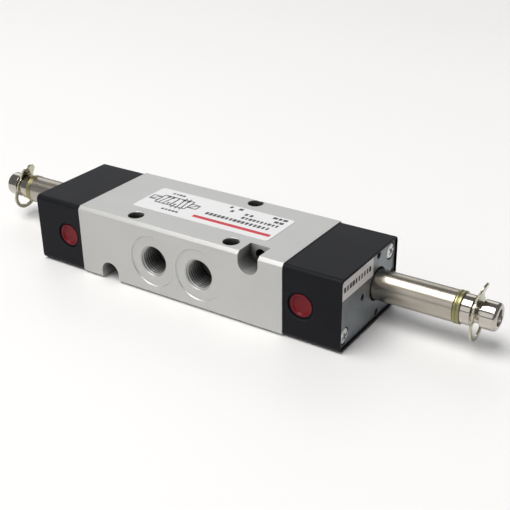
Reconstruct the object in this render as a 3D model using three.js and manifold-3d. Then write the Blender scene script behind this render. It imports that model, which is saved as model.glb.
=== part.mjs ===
// Solenoid directional valve: a five-port spool valve worked by two solenoid pilots, one in each end cap.
// Its coils are off, so each cap shows the bare armature tube that a coil slides over, with its clip.
//
// Millimetres. X runs along the spool, Y from the front face with the two outlet ports to the back face
// with the supply and the two exhausts, and Z up. The origin is the middle of the underside.
import * as THREE from "three";
import { mergeVertices } from "three/addons/utils/BufferGeometryUtils.js";
import Module from "manifold-3d";

const wasm = await Module();
wasm.setup();

// ---------------------------------------------------------------- driving dimensions

// Body block.
const BODY_LENGTH = 73;
const BODY_WIDTH = 33.5;
const BODY_HEIGHT = 22.5;
const BODY_EDGE = 1; // chamfer along the four long edges

// Ports: G1/8, two on the front face and three on the back.
const PORT_PITCH = 16.5;
const PORT_THREAD_R = 4.3;
const PORT_MOUTH_R = 4.9;
const PORT_CHAMFER = 0.6;
const PORT_DEPTH = 8;
const PORT_PASSAGE_R = 2.3;
const SPOT_FACE_R = 8.05;
const SPOT_FACE_DEPTH = 0.3;

// Mounting holes: three through from top to bottom, and two through from front to back.
const FOOT_HOLE_R = 2.4;
const FOOT_HOLE_PORT_WALL = 2.2; // between a front hole and the nearest port's socket
const FOOT_HOLE_FROM_EDGE = 4.4;
const BACK_HOLE_FROM_EDGE = 3.1;
const BOLT_HOLE_R = 1.7;
const BOLT_HEAD_R = 3.3;
const BOLT_HEAD_DEPTH = 6.7;
const BOLT_SCREW_WALL = 1.6; // between a bolt's head slot and the screws behind it
const BOLT_Z_FROM_EDGE = 2.9;

// Spool and its seals.
const SPOOL_R = 4.5;
const SPOOL_NECK_STEP = 1.5; // from land to neck, on the radius
const SPOOL_STROKE = 4;
const NECK_OVERLAP = 0.125; // a neck passes the middle of each seal that it opens by this much
const SEAL_GROOVE_DEPTH = 1.65;
const SEAL_GROOVE_WIDTH = 2;
const PORT_GALLERY_DEPTH = 1.05;
const PORT_GALLERY_WIDTH = 4.6;

// Pilot pistons.
const PISTON_R = 6.9;
const PISTON_THICKNESS = 2.2;
const PISTON_GROOVE_DEPTH = 1.2;
const PISTON_GROOVE_WIDTH = 1.2;
const PISTON_END_GAP = 0.15;

// End caps.
const CAP_LENGTH = 18;
const CAP_INSET = 0.3; // the cap stands in from the body by this much all round
const CAP_EDGE_R = 1.5;
const FACE_SEAL_WALL = 0.5; // between the piston's chamber and the seal's groove
const FACE_SEAL_WIDTH = 1;
const FACE_SEAL_THICKNESS = 0.85;
const PILOT_PASSAGE_R = 0.6;
const PILOT_WALL = 0.7; // between the piston's chamber and the nozzle

// End plates, which hold the armature tubes down.
const PLATE_THICKNESS = 2.1;
const PLATE_RECESS = 0.6; // the plate's face lies this far inside the cap's end
const PLATE_SIDE_RIM = 0.35;
const PLATE_TOP_RIM = 0.6;
const PLATE_CORNER_R = 1;
const PLATE_TUBE_GAP = 0.5;
const INDEX_HOLE_R = 1.1;
const INDEX_HOLE_FROM_TOP = 1.35; // four locating holes for a coil stand round the tube at one reach

// Screws.
const SCREW_R = 1.25;
const SCREW_SIDE_WALL = 0.25; // between a head's counterbore and the plate's side
const SCREW_TOP_WALL = 0.2; // and the least there is above or below it
// The screws stand this share of the way up the strip that an override's bore and a plate's edge leave them.
const SCREW_STRIP_SHARE = 0.85;
const SCREW_ENGAGEMENT = 6;
const SCREW_HEAD_R = 2.5;
const SCREW_HEAD_HEIGHT = 1.5;
const SCREW_HEAD_PROUD = 0.1; // of the plate, with the head in its counterbore
const SCREW_CROSS_LENGTH = 2.8;
const SCREW_CROSS_WIDTH = 0.55;
const SCREW_CROSS_DEPTH = 0.8;

// Manual overrides.
const OVERRIDE_FROM_BODY = 5.6;
const OVERRIDE_BUTTON_R = 3.4;
const OVERRIDE_FLANGE_STEP = 0.6; // from button to flange, on the radius
const OVERRIDE_FACE_DEPTH = 0.35;
const OVERRIDE_RETAINER_DEPTH = 0.6;
const OVERRIDE_RETAINER_THICKNESS = 0.8;
const OVERRIDE_FLANGE_LENGTH = 1.9;
const OVERRIDE_STEM_R = 1.6;
const OVERRIDE_STEM_LENGTH = 1.5;
const OVERRIDE_TRAVEL = 1.8;
const OVERRIDE_GROOVE_DEPTH = 0.9;
const OVERRIDE_GROOVE_WIDTH = 1;

// Armature tube and what is in it.
const TUBE_Y = 5.9; // the tube stands behind the valve's middle
const TUBE_R = 4.5;
const TUBE_WALL = 0.5;
const TUBE_REACH = 23; // past the cap's end
const TUBE_FLANGE_WIDTH = 1.9;
const TUBE_FLANGE_THICKNESS = 1.4;
const TUBE_SEAL_WIRE_R = 0.75;
const JOINT_RING_PROUD = 0.15;
const JOINT_RING_LENGTH = 2;
const ARMATURE_FIT = 0.07; // radial
const ARMATURE_STROKE = 1.5;
const ARMATURE_POCKET_R = 1.9;
const ARMATURE_POCKET_DEPTH = 8;
const CORE_DEPTH = 8; // of the fixed core inside the tube
const AIR_GAP_LEFT = 0.1; // between armature and core when the armature is pulled in
const SHADING_RING_OUTER_R = 3.3;
const SHADING_RING_INNER_R = 2.7;
const SHADING_RING_DEPTH = 1;
const DISC_R = 1.95;
const DISC_THICKNESS = 1.8;
const DISC_PROUD = 0.3;
const VALVE_CHAMBER_STEP = 0.4; // the chamber is this much wider than the tube's bore, on the radius
const NOZZLE_R = 2.2;
const NOZZLE_TIP_R = 0.9;
const NOZZLE_TIP_HEIGHT = 0.45;
const NOZZLE_DEPTH = 1.8;
const NOZZLE_ORIFICE_R = 0.45;

// Core end outside the tube, with its neck and knob.
const SHOULDER_STEP = 0.3; // from tube to shoulder, on the radius
const SHOULDER_LENGTH = 2.8;
const CLIP_NECK_STEP = 0.95; // from knob to neck, on the radius
const CLIP_NECK_LENGTH = 2.5;
const KNOB_STEP = 0.55; // from tube to knob, on the radius
const KNOB_LENGTH = 4.4;
const KNOB_ROUND = 1;
const KNOB_DIMPLE_RIM = 0.45;
const KNOB_DIMPLE_DEPTH = 0.6;

// Retaining clip: a keyhole plate with a bent finger tab.
const CLIP_THICKNESS = 0.6;
const CLIP_NECK_CLEARANCE = 0.15;
const CLIP_KNOB_CLEARANCE = 0.2;
const CLIP_RELEASE = 3.1; // slide from locked to free
const CLIP_RING_WIDTH = 1.2;
const CLIP_LEG_WIDTH = 1.45;
const CLIP_TAB_WIDTH = 5.8;
const CLIP_TAB_ROOT = 0.1; // from the core's shoulder to where the tab bends
const CLIP_TAB_LENGTH = 4.7;
const CLIP_TAB_BEND = THREE.MathUtils.degToRad(20);
// The right clip hangs square in its neck. The left one leans over as far as its play lets it.
const CLIP_FROM_SHOULDER = 0.95;
const CLIP_PLAY = 0.24;

// Springs.
const SPRING_WIRE_R = 0.25;
const ARMATURE_SPRING_GAP = 0.15; // from spring to pocket wall
const OVERRIDE_SPRING_GAP = 0.85; // from stem to spring
const ARMATURE_SPRING_TURNS = 6;
const OVERRIDE_SPRING_TURNS = 2.5;

// Labels.
const LABEL_THICKNESS = 0.12;
const NAME_LABEL = { length: 48.8, width: 15.7, x: 1.25, y: 0.7, corner: 1.2 };
const STICKER = { height: 5.9, corner: 0.5, edgeGap: 0.3, tubeGap: 0.4 };

// Clearances.
const RUNNING_FIT = 0.05; // radial, between a sliding piece and its bore
const STATIC_FIT = 0.05; // between a seal, ring or screw and the seat that it fills
const SEAT_GAP = 0.1; // end play of a held piece

// Facets round a full circle.
const FINE = 18; // ports, tubes and buttons
const MEDIUM = 16; // the spool, its bore, pistons and seals
const COARSE = 8; // screws and small holes

// ---------------------------------------------------------------- derived levels

const bodyEnd = BODY_LENGTH / 2;
const front = -BODY_WIDTH / 2;
const midHeight = BODY_HEIGHT / 2;
const sealPitch = PORT_PITCH / 2;
const spoolBoreR = SPOOL_R + RUNNING_FIT;
const spoolNeckR = SPOOL_R - SPOOL_NECK_STEP;
const sealGrooveR = spoolBoreR + SEAL_GROOVE_DEPTH;
const portGalleryR = spoolBoreR + PORT_GALLERY_DEPTH;
const footHoleX = PORT_PITCH / 2 + PORT_THREAD_R + FOOT_HOLE_PORT_WALL + FOOT_HOLE_R;

const screwHoleDepth = SCREW_ENGAGEMENT + SEAT_GAP;
const boltX = bodyEnd - screwHoleDepth - BOLT_SCREW_WALL - BOLT_HEAD_R;

// In an end cap, distances run outwards from the body's end face, and heights from mid-height.
const capHalfWidth = BODY_WIDTH / 2 - CAP_INSET;
const capHalfHeight = BODY_HEIGHT / 2 - CAP_INSET;
const plateOuter = CAP_LENGTH - PLATE_RECESS;
const plateInner = plateOuter - PLATE_THICKNESS;
const plateHalfWidth = capHalfWidth - PLATE_SIDE_RIM;
const plateHalfHeight = capHalfHeight - PLATE_TOP_RIM;
const screwHeadReach = STATIC_FIT + SEAT_GAP + SCREW_HEAD_R;
const screwY = plateHalfWidth - SCREW_SIDE_WALL - screwHeadReach;
const overrideFlangeR = OVERRIDE_BUTTON_R + OVERRIDE_FLANGE_STEP;
const overrideBoreR = overrideFlangeR + RUNNING_FIT;
const screwLowest = overrideBoreR + RUNNING_FIT + SCREW_R + SEAT_GAP;
const screwHighest = plateHalfHeight - SCREW_TOP_WALL - screwHeadReach;
const screwZ = screwLowest + SCREW_STRIP_SHARE * (screwHighest - screwLowest);
const indexHoleReach = plateHalfHeight - INDEX_HOLE_FROM_TOP;
const tubeBoreR = TUBE_R - TUBE_WALL;
const tubeFlangeR = TUBE_R + TUBE_FLANGE_WIDTH;
const tubeHoleR = TUBE_R + PLATE_TUBE_GAP;
const armatureR = tubeBoreR - ARMATURE_FIT;
const valveChamberR = tubeBoreR + VALVE_CHAMBER_STEP;
const tubeSealR = valveChamberR + TUBE_SEAL_WIRE_R + 2 * SEAT_GAP;
const shoulderR = TUBE_R - SHOULDER_STEP;
const knobR = TUBE_R - KNOB_STEP;
const clipNeckR = knobR - CLIP_NECK_STEP;
const clipSlotR = clipNeckR + CLIP_NECK_CLEARANCE;
const clipHoleR = knobR + CLIP_KNOB_CLEARANCE;
const tabRoot = shoulderR + CLIP_TAB_ROOT;
const clipLean = Math.asin((CLIP_NECK_LENGTH - CLIP_THICKNESS - 2 * CLIP_PLAY) / (shoulderR + knobR));
const clipTilt = { right: 0, left: clipLean };
const clipFromShoulder = {
  right: CLIP_FROM_SHOULDER,
  left: shoulderR * Math.sin(clipLean) + CLIP_THICKNESS / 2 + CLIP_PLAY,
};
const flangeOuter = plateInner - SEAT_GAP;
const flangeInner = flangeOuter - TUBE_FLANGE_THICKNESS;
const tubeSealFloor = flangeInner - 2 * TUBE_SEAL_WIRE_R;
const pistonChamberR = PISTON_R + RUNNING_FIT;
const pistonChamberDepth = SPOOL_STROKE + PISTON_THICKNESS + 2 * PISTON_END_GAP;
const faceSealInnerR = pistonChamberR + FACE_SEAL_WALL;
const faceSealOuterR = faceSealInnerR + FACE_SEAL_WIDTH;
const nozzleFloor = pistonChamberDepth + PILOT_WALL;
const valveChamberFloor = nozzleFloor + NOZZLE_DEPTH;
const nozzleTip = valveChamberFloor + NOZZLE_TIP_HEIGHT;
const discFace = nozzleTip + RUNNING_FIT;
const armatureInner = discFace + DISC_PROUD;
const tubeEnd = CAP_LENGTH + TUBE_REACH;
const coreFace = tubeEnd - CORE_DEPTH;
const armatureOuter = coreFace - ARMATURE_STROKE - AIR_GAP_LEFT;
const shoulderStart = tubeEnd + JOINT_RING_LENGTH;
const neckStart = shoulderStart + SHOULDER_LENGTH;
const knobStart = neckStart + CLIP_NECK_LENGTH;
const knobEnd = knobStart + KNOB_LENGTH;
const retainerFloor = OVERRIDE_RETAINER_DEPTH + OVERRIDE_RETAINER_THICKNESS;
const overrideFlangeTop = retainerFloor + RUNNING_FIT;
const overrideFlangeFloor = overrideFlangeTop + OVERRIDE_FLANGE_LENGTH;
const overrideStemEnd = overrideFlangeFloor + OVERRIDE_STEM_LENGTH;
const overrideBoreDepth = overrideStemEnd + OVERRIDE_TRAVEL + SEAT_GAP;

// ---------------------------------------------------------------- solids

// A closed three.js geometry as a manifold solid.
function solidOf(geometry) {
  const bare = geometry.clone();
  bare.deleteAttribute("normal");
  bare.deleteAttribute("uv");
  const merged = mergeVertices(bare, 1e-4);
  const index = merged.index.array;
  const corners = [];
  for (let i = 0; i < index.length; i += 3) {
    const [a, b, c] = [index[i], index[i + 1], index[i + 2]];
    if (a !== b && b !== c && c !== a) {
      corners.push(a, b, c);
    }
  }
  const vertProperties = merged.attributes.position.array;
  return new wasm.Manifold(new wasm.Mesh({ numProp: 3, vertProperties, triVerts: new Uint32Array(corners) }));
}

// A manifold solid as a three.js geometry.
function geometryOf(solid) {
  const { vertProperties, triVerts } = solid.getMesh();
  const geometry = new THREE.BufferGeometry();
  geometry.setAttribute("position", new THREE.BufferAttribute(new Float32Array(vertProperties), 3));
  geometry.setIndex(new THREE.BufferAttribute(new Uint32Array(triVerts), 1));
  geometry.computeVertexNormals();
  return geometry;
}

// A turned piece. The profile is a list of [distance along the axis, radius]. It starts and ends on the
// axis, or is the closed section of a ring. The axis is "x", "y" or "z", through the point at.
function turned(axis, profile, facets, at = [0, 0, 0]) {
  const points = profile.map(([along, radius]) => new THREE.Vector2(radius, along));
  const onAxis = profile[0][1] === 0 && profile[profile.length - 1][1] === 0;
  if (THREE.ShapeUtils.area(points) < 0) {
    points.reverse();
  }
  if (!onAxis) {
    points.push(points[0].clone());
  }
  const geometry = new THREE.LatheGeometry(points, facets);
  if (axis === "x") {
    geometry.rotateZ(-Math.PI / 2);
  }
  if (axis === "z") {
    geometry.rotateX(Math.PI / 2);
  }
  return solidOf(geometry.translate(...at));
}

function rod(axis, radius, from, to, facets, at) {
  return turned(axis, [[from, 0], [from, radius], [to, radius], [to, 0]], facets, at);
}

function ring(axis, innerR, outerR, from, to, facets, at) {
  return turned(axis, [[from, innerR], [from, outerR], [to, outerR], [to, innerR]], facets, at);
}

// A round-section seal ring.
function sealRing(axis, ringR, wireR, middle, facets, at) {
  const sides = 6;
  const section = [];
  for (let i = 0; i < sides; i += 1) {
    const angle = ((i + 0.5) / sides) * 2 * Math.PI;
    section.push([middle + wireR * Math.cos(angle), ringR + wireR * Math.sin(angle)]);
  }
  return turned(axis, section, facets, at);
}

function box(low, high) {
  const size = high.map((value, i) => value - low[i]);
  const middle = high.map((value, i) => (value + low[i]) / 2);
  return solidOf(new THREE.BoxGeometry(...size).translate(...middle));
}

// A rectangle with round corners, centred on (x, y). With one step a corner is a chamfer.
function roundedRectangle(x, y, halfWidth, halfHeight, radius, steps) {
  const points = [];
  for (let corner = 0; corner < 4; corner += 1) {
    const right = corner === 0 || corner === 3 ? 1 : -1;
    const upper = corner < 2 ? 1 : -1;
    for (let i = 0; i <= steps; i += 1) {
      const angle = ((corner + i / steps) * Math.PI) / 2;
      points.push(
        new THREE.Vector2(
          x + right * (halfWidth - radius) + radius * Math.cos(angle),
          y + upper * (halfHeight - radius) + radius * Math.sin(angle),
        ),
      );
    }
  }
  return new THREE.Shape(points);
}

// A flat outline drawn in Y and Z, given a thickness along X.
function slabAlongX(shape, from, to) {
  const geometry = new THREE.ExtrudeGeometry(shape, { depth: to - from, bevelEnabled: false, steps: 1 });
  const turn = new THREE.Matrix4().makeBasis(
    new THREE.Vector3(0, 1, 0),
    new THREE.Vector3(0, 0, 1),
    new THREE.Vector3(1, 0, 0),
  );
  return solidOf(geometry.applyMatrix4(turn).translate(from, 0, 0));
}

class Helix extends THREE.Curve {
  constructor(radius, from, to, turns) {
    super();
    Object.assign(this, { radius, from, to, turns });
  }

  getPoint(t, target = new THREE.Vector3()) {
    const angle = t * this.turns * 2 * Math.PI;
    const along = this.from + t * (this.to - this.from);
    return target.set(along, this.radius * Math.cos(angle), this.radius * Math.sin(angle));
  }
}

// A compression spring along X, between two faces.
function springAlongX(radius, from, to, turns) {
  const sides = 4;
  const stepsPerTurn = 8;
  const path = new Helix(radius, from + SPRING_WIRE_R + SEAT_GAP, to - SPRING_WIRE_R - SEAT_GAP, turns);
  const wire = new THREE.Shape();
  for (let i = 0; i < sides; i += 1) {
    const angle = (i / sides) * 2 * Math.PI;
    const x = SPRING_WIRE_R * Math.cos(angle);
    const y = SPRING_WIRE_R * Math.sin(angle);
    if (i === 0) {
      wire.moveTo(x, y);
    } else {
      wire.lineTo(x, y);
    }
  }
  const steps = Math.round(turns * stepsPerTurn);
  return new THREE.ExtrudeGeometry(wire, { steps, bevelEnabled: false, extrudePath: path });
}

// ---------------------------------------------------------------- finishes

function finish(color, roughness, metalness) {
  return { color, roughness, metalness };
}

const FINISHES = {
  aluminium: finish(0xc3c3be, 0.42, 0.75),
  spoolMetal: finish(0xb9bcc0, 0.25, 0.9),
  blackPlastic: finish(0x26282c, 0.5, 0),
  zincPlate: finish(0x868d93, 0.45, 0.8),
  brightSteel: finish(0xc9ccd0, 0.25, 1),
  nickelSteel: finish(0xb4ada2, 0.22, 1),
  magneticSteel: finish(0x9a9da1, 0.3, 1),
  yellowZinc: finish(0x9c9460, 0.4, 0.9),
  clipSteel: finish(0xb8b39a, 0.3, 1),
  brass: finish(0xb5963f, 0.3, 1),
  copper: finish(0xb06a42, 0.3, 1),
  springSteel: finish(0xa8abb0, 0.3, 1),
  rubber: finish(0x17181a, 0.8, 0),
  redPlastic: finish(0x8c1a26, 0.4, 0),
  whiteLabel: finish(0xe8e8e6, 0.5, 0),
  greySticker: finish(0xb8b3b0, 0.6, 0),
};

const valve = new THREE.Group();

function addPiece(group, name, solidOrGeometry, look) {
  const isGeometry = solidOrGeometry instanceof THREE.BufferGeometry;
  const geometry = isGeometry ? solidOrGeometry : geometryOf(solidOrGeometry);
  const mesh = new THREE.Mesh(geometry, new THREE.MeshStandardMaterial(FINISHES[look]));
  mesh.name = name;
  group.add(mesh);
  return mesh;
}

// ---------------------------------------------------------------- valve body

// One port: spot face, chamfered thread socket, and the narrower way on to the spool bore.
function portCut(x, side) {
  const face = (side * BODY_WIDTH) / 2;
  const level = (depth) => face - side * depth;
  const profile = [
    [level(-1), 0],
    [level(-1), SPOT_FACE_R],
    [level(SPOT_FACE_DEPTH), SPOT_FACE_R],
    [level(SPOT_FACE_DEPTH), PORT_MOUTH_R],
    [level(SPOT_FACE_DEPTH + PORT_CHAMFER), PORT_THREAD_R],
    [level(PORT_DEPTH), PORT_THREAD_R],
    [level(PORT_DEPTH), PORT_PASSAGE_R],
    [side * SPOOL_R, PORT_PASSAGE_R],
    [side * SPOOL_R, 0],
  ];
  return turned("y", profile, FINE, [x, 0, midHeight]);
}

// The spool bore with a groove for each seal and a gallery round the spool at each port.
function spoolBoreCut() {
  const steps = [];
  for (let i = -2; i <= 2; i += 1) {
    steps.push([i * sealPitch, PORT_GALLERY_WIDTH / 2, portGalleryR]);
  }
  for (let i = -2.5; i <= 2.5; i += 1) {
    steps.push([i * sealPitch, SEAL_GROOVE_WIDTH / 2, sealGrooveR]);
  }
  steps.sort((a, b) => a[0] - b[0]);
  const profile = [[-bodyEnd - 1, 0], [-bodyEnd - 1, spoolBoreR]];
  for (const [middle, half, radius] of steps) {
    profile.push([middle - half, spoolBoreR], [middle - half, radius]);
    profile.push([middle + half, radius], [middle + half, spoolBoreR]);
  }
  profile.push([bodyEnd + 1, spoolBoreR], [bodyEnd + 1, 0]);
  return turned("x", profile, MEDIUM, [0, 0, midHeight]);
}

// A bolt hole from front to back, with a slot for the bolt's head that is open at the nearest edge.
function boltCut(side) {
  const x = side * boltX;
  const z = side > 0 ? BODY_HEIGHT - BOLT_Z_FROM_EDGE : BOLT_Z_FROM_EDGE;
  const openEdge = side > 0 ? BODY_HEIGHT + 1 : -1;
  const floor = front + BOLT_HEAD_DEPTH;
  const head = rod("y", BOLT_HEAD_R, front - 1, floor, FINE, [x, 0, z]);
  const slot = box(
    [x - BOLT_HEAD_R, front - 1, Math.min(z, openEdge)],
    [x + BOLT_HEAD_R, floor, Math.max(z, openEdge)],
  );
  const hole = rod("y", BOLT_HOLE_R, front - 1, -front + 1, COARSE, [x, 0, z]);
  return head.add(slot).add(hole);
}

function screwPlaces() {
  const places = [];
  for (const y of [-screwY, screwY]) {
    for (const z of [-screwZ, screwZ]) {
      places.push([y, z]);
    }
  }
  return places;
}

function makeBody() {
  const outline = roundedRectangle(0, midHeight, BODY_WIDTH / 2, BODY_HEIGHT / 2, BODY_EDGE, 1);
  let solid = slabAlongX(outline, -bodyEnd, bodyEnd).subtract(spoolBoreCut());
  for (const x of [-PORT_PITCH / 2, PORT_PITCH / 2]) {
    solid = solid.subtract(portCut(x, -1));
  }
  for (const x of [-PORT_PITCH, 0, PORT_PITCH]) {
    solid = solid.subtract(portCut(x, 1));
  }
  const footY = front + FOOT_HOLE_FROM_EDGE;
  const feet = [[-footHoleX, footY], [footHoleX, footY], [PORT_PITCH / 2, -front - BACK_HOLE_FROM_EDGE]];
  for (const [x, y] of feet) {
    solid = solid.subtract(rod("z", FOOT_HOLE_R, -1, BODY_HEIGHT + 1, FINE, [x, y, 0]));
  }
  for (const side of [-1, 1]) {
    solid = solid.subtract(boltCut(side));
    for (const [y, z] of screwPlaces()) {
      const inner = side * (bodyEnd - screwHoleDepth);
      const outer = side * (bodyEnd + 1);
      const from = Math.min(inner, outer);
      const to = Math.max(inner, outer);
      solid = solid.subtract(rod("x", SCREW_R + STATIC_FIT, from, to, COARSE, [0, y, midHeight + z]));
    }
  }
  return solid;
}

addPiece(valve, "valve_body", makeBody(), "aluminium");

// ---------------------------------------------------------------- spool and its seals

// The spool at its right-hand end of travel: a plain land between two necks, and a long land at each end.
function makeSpool() {
  const rest = SPOOL_STROKE / 2;
  const half = bodyEnd + PISTON_END_GAP + SPOOL_STROKE / 2;
  const neckHalf = sealPitch / 2 + NECK_OVERLAP;
  const edge = 0.3;
  const profile = [[rest - half, 0], [rest - half, SPOOL_R - edge], [rest - half + edge, SPOOL_R]];
  for (const middle of [rest - sealPitch, rest + sealPitch]) {
    const [from, to] = [middle - neckHalf, middle + neckHalf];
    profile.push([from - edge, SPOOL_R], [from, spoolNeckR], [to, spoolNeckR], [to + edge, SPOOL_R]);
  }
  profile.push([rest + half - edge, SPOOL_R], [rest + half, SPOOL_R - edge], [rest + half, 0]);
  return turned("x", profile, MEDIUM, [0, 0, midHeight]);
}

addPiece(valve, "spool", makeSpool(), "spoolMetal");

for (let i = 0; i < 6; i += 1) {
  const innerR = SPOOL_R + RUNNING_FIT;
  const outerR = sealGrooveR - STATIC_FIT;
  const wireR = (outerR - innerR) / 2;
  const seal = sealRing("x", (innerR + outerR) / 2, wireR, (i - 2.5) * sealPitch, MEDIUM, [0, 0, midHeight]);
  addPiece(valve, "spool_seal_" + (i + 1), seal, "rubber");
}

// ---------------------------------------------------------------- pieces of one end

const tubeAxis = [0, TUBE_Y, 0];

// The piston disc, drawn from its inner face outwards, with a groove for its seal.
function makePiston(inner) {
  const outer = inner + PISTON_THICKNESS;
  const grooveFrom = inner + (PISTON_THICKNESS - PISTON_GROOVE_WIDTH) / 2;
  const grooveTo = grooveFrom + PISTON_GROOVE_WIDTH;
  const grooveR = PISTON_R - PISTON_GROOVE_DEPTH;
  const profile = [
    [inner, 0],
    [inner, PISTON_R],
    [grooveFrom, PISTON_R],
    [grooveFrom, grooveR],
    [grooveTo, grooveR],
    [grooveTo, PISTON_R],
    [outer, PISTON_R],
    [outer, 0],
  ];
  return turned("x", profile, MEDIUM);
}

function makePistonSeal(inner) {
  const wireR = PISTON_GROOVE_DEPTH / 2 - STATIC_FIT;
  const ringR = PISTON_R - PISTON_GROOVE_DEPTH / 2;
  return sealRing("x", ringR, wireR, inner + PISTON_THICKNESS / 2, MEDIUM);
}

// The bore for a manual override, in from the cap's front face.
function overrideCut() {
  const level = (depth) => -capHalfWidth + depth;
  const profile = [
    [level(-1), 0],
    [level(-1), overrideBoreR + RUNNING_FIT],
    [level(retainerFloor), overrideBoreR + RUNNING_FIT],
    [level(retainerFloor), overrideBoreR],
    [level(overrideBoreDepth), overrideBoreR],
    [level(overrideBoreDepth), PILOT_PASSAGE_R],
    [-pistonChamberR + 1, PILOT_PASSAGE_R],
    [-pistonChamberR + 1, 0],
  ];
  return turned("y", profile, FINE, [OVERRIDE_FROM_BODY, 0, 0]);
}

// The stepped pocket that the armature tube stands in, down to the pilot passage.
function tubePocketCut() {
  const profile = [
    [pistonChamberDepth - 1, 0],
    [pistonChamberDepth - 1, PILOT_PASSAGE_R],
    [nozzleFloor, PILOT_PASSAGE_R],
    [nozzleFloor, NOZZLE_R + STATIC_FIT],
    [valveChamberFloor, NOZZLE_R + STATIC_FIT],
    [valveChamberFloor, valveChamberR],
    [tubeSealFloor - STATIC_FIT, valveChamberR],
    [tubeSealFloor - STATIC_FIT, tubeSealR + TUBE_SEAL_WIRE_R + STATIC_FIT],
    [flangeInner, tubeSealR + TUBE_SEAL_WIRE_R + STATIC_FIT],
    [flangeInner, tubeFlangeR + SEAT_GAP],
    [plateInner + 1, tubeFlangeR + SEAT_GAP],
    [plateInner + 1, 0],
  ];
  return turned("x", profile, FINE, tubeAxis);
}

// The plate's screws stand on one diagonal, and the cap's own screws on the other, under the plate.
const plateScrewPlaces = screwPlaces().filter(([y, z]) => y * z > 0);
const capScrewPlaces = screwPlaces().filter(([y, z]) => y * z < 0);
const plateScrewSeat = plateOuter + SCREW_HEAD_PROUD - SCREW_HEAD_HEIGHT;
const capScrewSeat = plateInner - SCREW_HEAD_HEIGHT - SEAT_GAP;
const screwHeadHoleR = SCREW_HEAD_R + SEAT_GAP;

function makeCap() {
  const outline = roundedRectangle(0, 0, capHalfWidth, capHalfHeight, CAP_EDGE_R, 3);
  const recess = roundedRectangle(0, 0, plateHalfWidth, plateHalfHeight, PLATE_CORNER_R, 2);
  const ringCut = [faceSealInnerR - STATIC_FIT, faceSealOuterR + STATIC_FIT];
  let solid = slabAlongX(outline, 0, CAP_LENGTH)
    .subtract(slabAlongX(recess, plateInner, CAP_LENGTH + 1))
    .subtract(rod("x", pistonChamberR, -1, pistonChamberDepth, MEDIUM))
    .subtract(ring("x", ...ringCut, -1, FACE_SEAL_THICKNESS + STATIC_FIT, MEDIUM))
    .subtract(tubePocketCut())
    .subtract(overrideCut());
  for (const [y, z] of screwPlaces()) {
    solid = solid.subtract(rod("x", SCREW_R + SEAT_GAP, -1, CAP_LENGTH, COARSE, [0, y, z]));
  }
  for (const [y, z] of capScrewPlaces) {
    solid = solid.subtract(rod("x", screwHeadHoleR, capScrewSeat, CAP_LENGTH, COARSE, [0, y, z]));
  }
  return solid;
}

function makeFaceSeal() {
  return ring("x", faceSealInnerR, faceSealOuterR, 0, FACE_SEAL_THICKNESS, MEDIUM);
}

function makeEndPlate() {
  const outline = roundedRectangle(
    0,
    0,
    plateHalfWidth - STATIC_FIT,
    plateHalfHeight - STATIC_FIT,
    PLATE_CORNER_R,
    2,
  );
  let solid = slabAlongX(outline, plateInner, plateOuter).subtract(
    rod("x", tubeHoleR, plateInner - 1, plateOuter + 1, FINE, tubeAxis),
  );
  for (const [y, z] of plateScrewPlaces) {
    const at = [0, y, z];
    solid = solid
      .subtract(rod("x", SCREW_R + SEAT_GAP, plateInner - 1, plateOuter + 1, COARSE, at))
      .subtract(rod("x", screwHeadHoleR, plateScrewSeat, plateOuter + 1, COARSE, at));
  }
  for (let i = 0; i < 4; i += 1) {
    const y = TUBE_Y + indexHoleReach * Math.round(Math.cos((i * Math.PI) / 2));
    const z = indexHoleReach * Math.round(Math.sin((i * Math.PI) / 2));
    solid = solid.subtract(rod("x", INDEX_HOLE_R, plateInner - 1, plateOuter + 1, COARSE, [0, y, z]));
  }
  return solid;
}

// A pan-head screw with a cross recess, seated on the level given and reaching into the body.
function makeScrew(seat, y, z) {
  const top = seat + SCREW_HEAD_HEIGHT;
  const profile = [
    [-SCREW_ENGAGEMENT, 0],
    [-SCREW_ENGAGEMENT, SCREW_R],
    [seat, SCREW_R],
    [seat, SCREW_HEAD_R],
    [seat + 0.6 * SCREW_HEAD_HEIGHT, SCREW_HEAD_R],
    [top, 0.6 * SCREW_HEAD_R],
    [top, 0],
  ];
  const [half, narrow] = [SCREW_CROSS_LENGTH / 2, SCREW_CROSS_WIDTH / 2];
  const floor = top - SCREW_CROSS_DEPTH;
  return turned("x", profile, COARSE, [0, y, z])
    .subtract(box([floor, y - half, z - narrow], [top + 1, y + half, z + narrow]))
    .subtract(box([floor, y - narrow, z - half], [top + 1, y + narrow, z + half]));
}

// The red button: a head that shows through its retainer, a flange with a seal groove, and a stem.
function makeOverride() {
  const level = (depth) => -capHalfWidth + depth;
  const grooveFrom = overrideFlangeTop + (OVERRIDE_FLANGE_LENGTH - OVERRIDE_GROOVE_WIDTH) / 2;
  const grooveR = overrideFlangeR - OVERRIDE_GROOVE_DEPTH;
  const profile = [
    [level(OVERRIDE_FACE_DEPTH), 0],
    [level(OVERRIDE_FACE_DEPTH), OVERRIDE_BUTTON_R],
    [level(overrideFlangeTop), OVERRIDE_BUTTON_R],
    [level(overrideFlangeTop), overrideFlangeR],
    [level(grooveFrom), overrideFlangeR],
    [level(grooveFrom), grooveR],
    [level(grooveFrom + OVERRIDE_GROOVE_WIDTH), grooveR],
    [level(grooveFrom + OVERRIDE_GROOVE_WIDTH), overrideFlangeR],
    [level(overrideFlangeFloor), overrideFlangeR],
    [level(overrideFlangeFloor), OVERRIDE_STEM_R],
    [level(overrideStemEnd), OVERRIDE_STEM_R],
    [level(overrideStemEnd), 0],
  ];
  return turned("y", profile, FINE, [OVERRIDE_FROM_BODY, 0, 0]);
}

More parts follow.
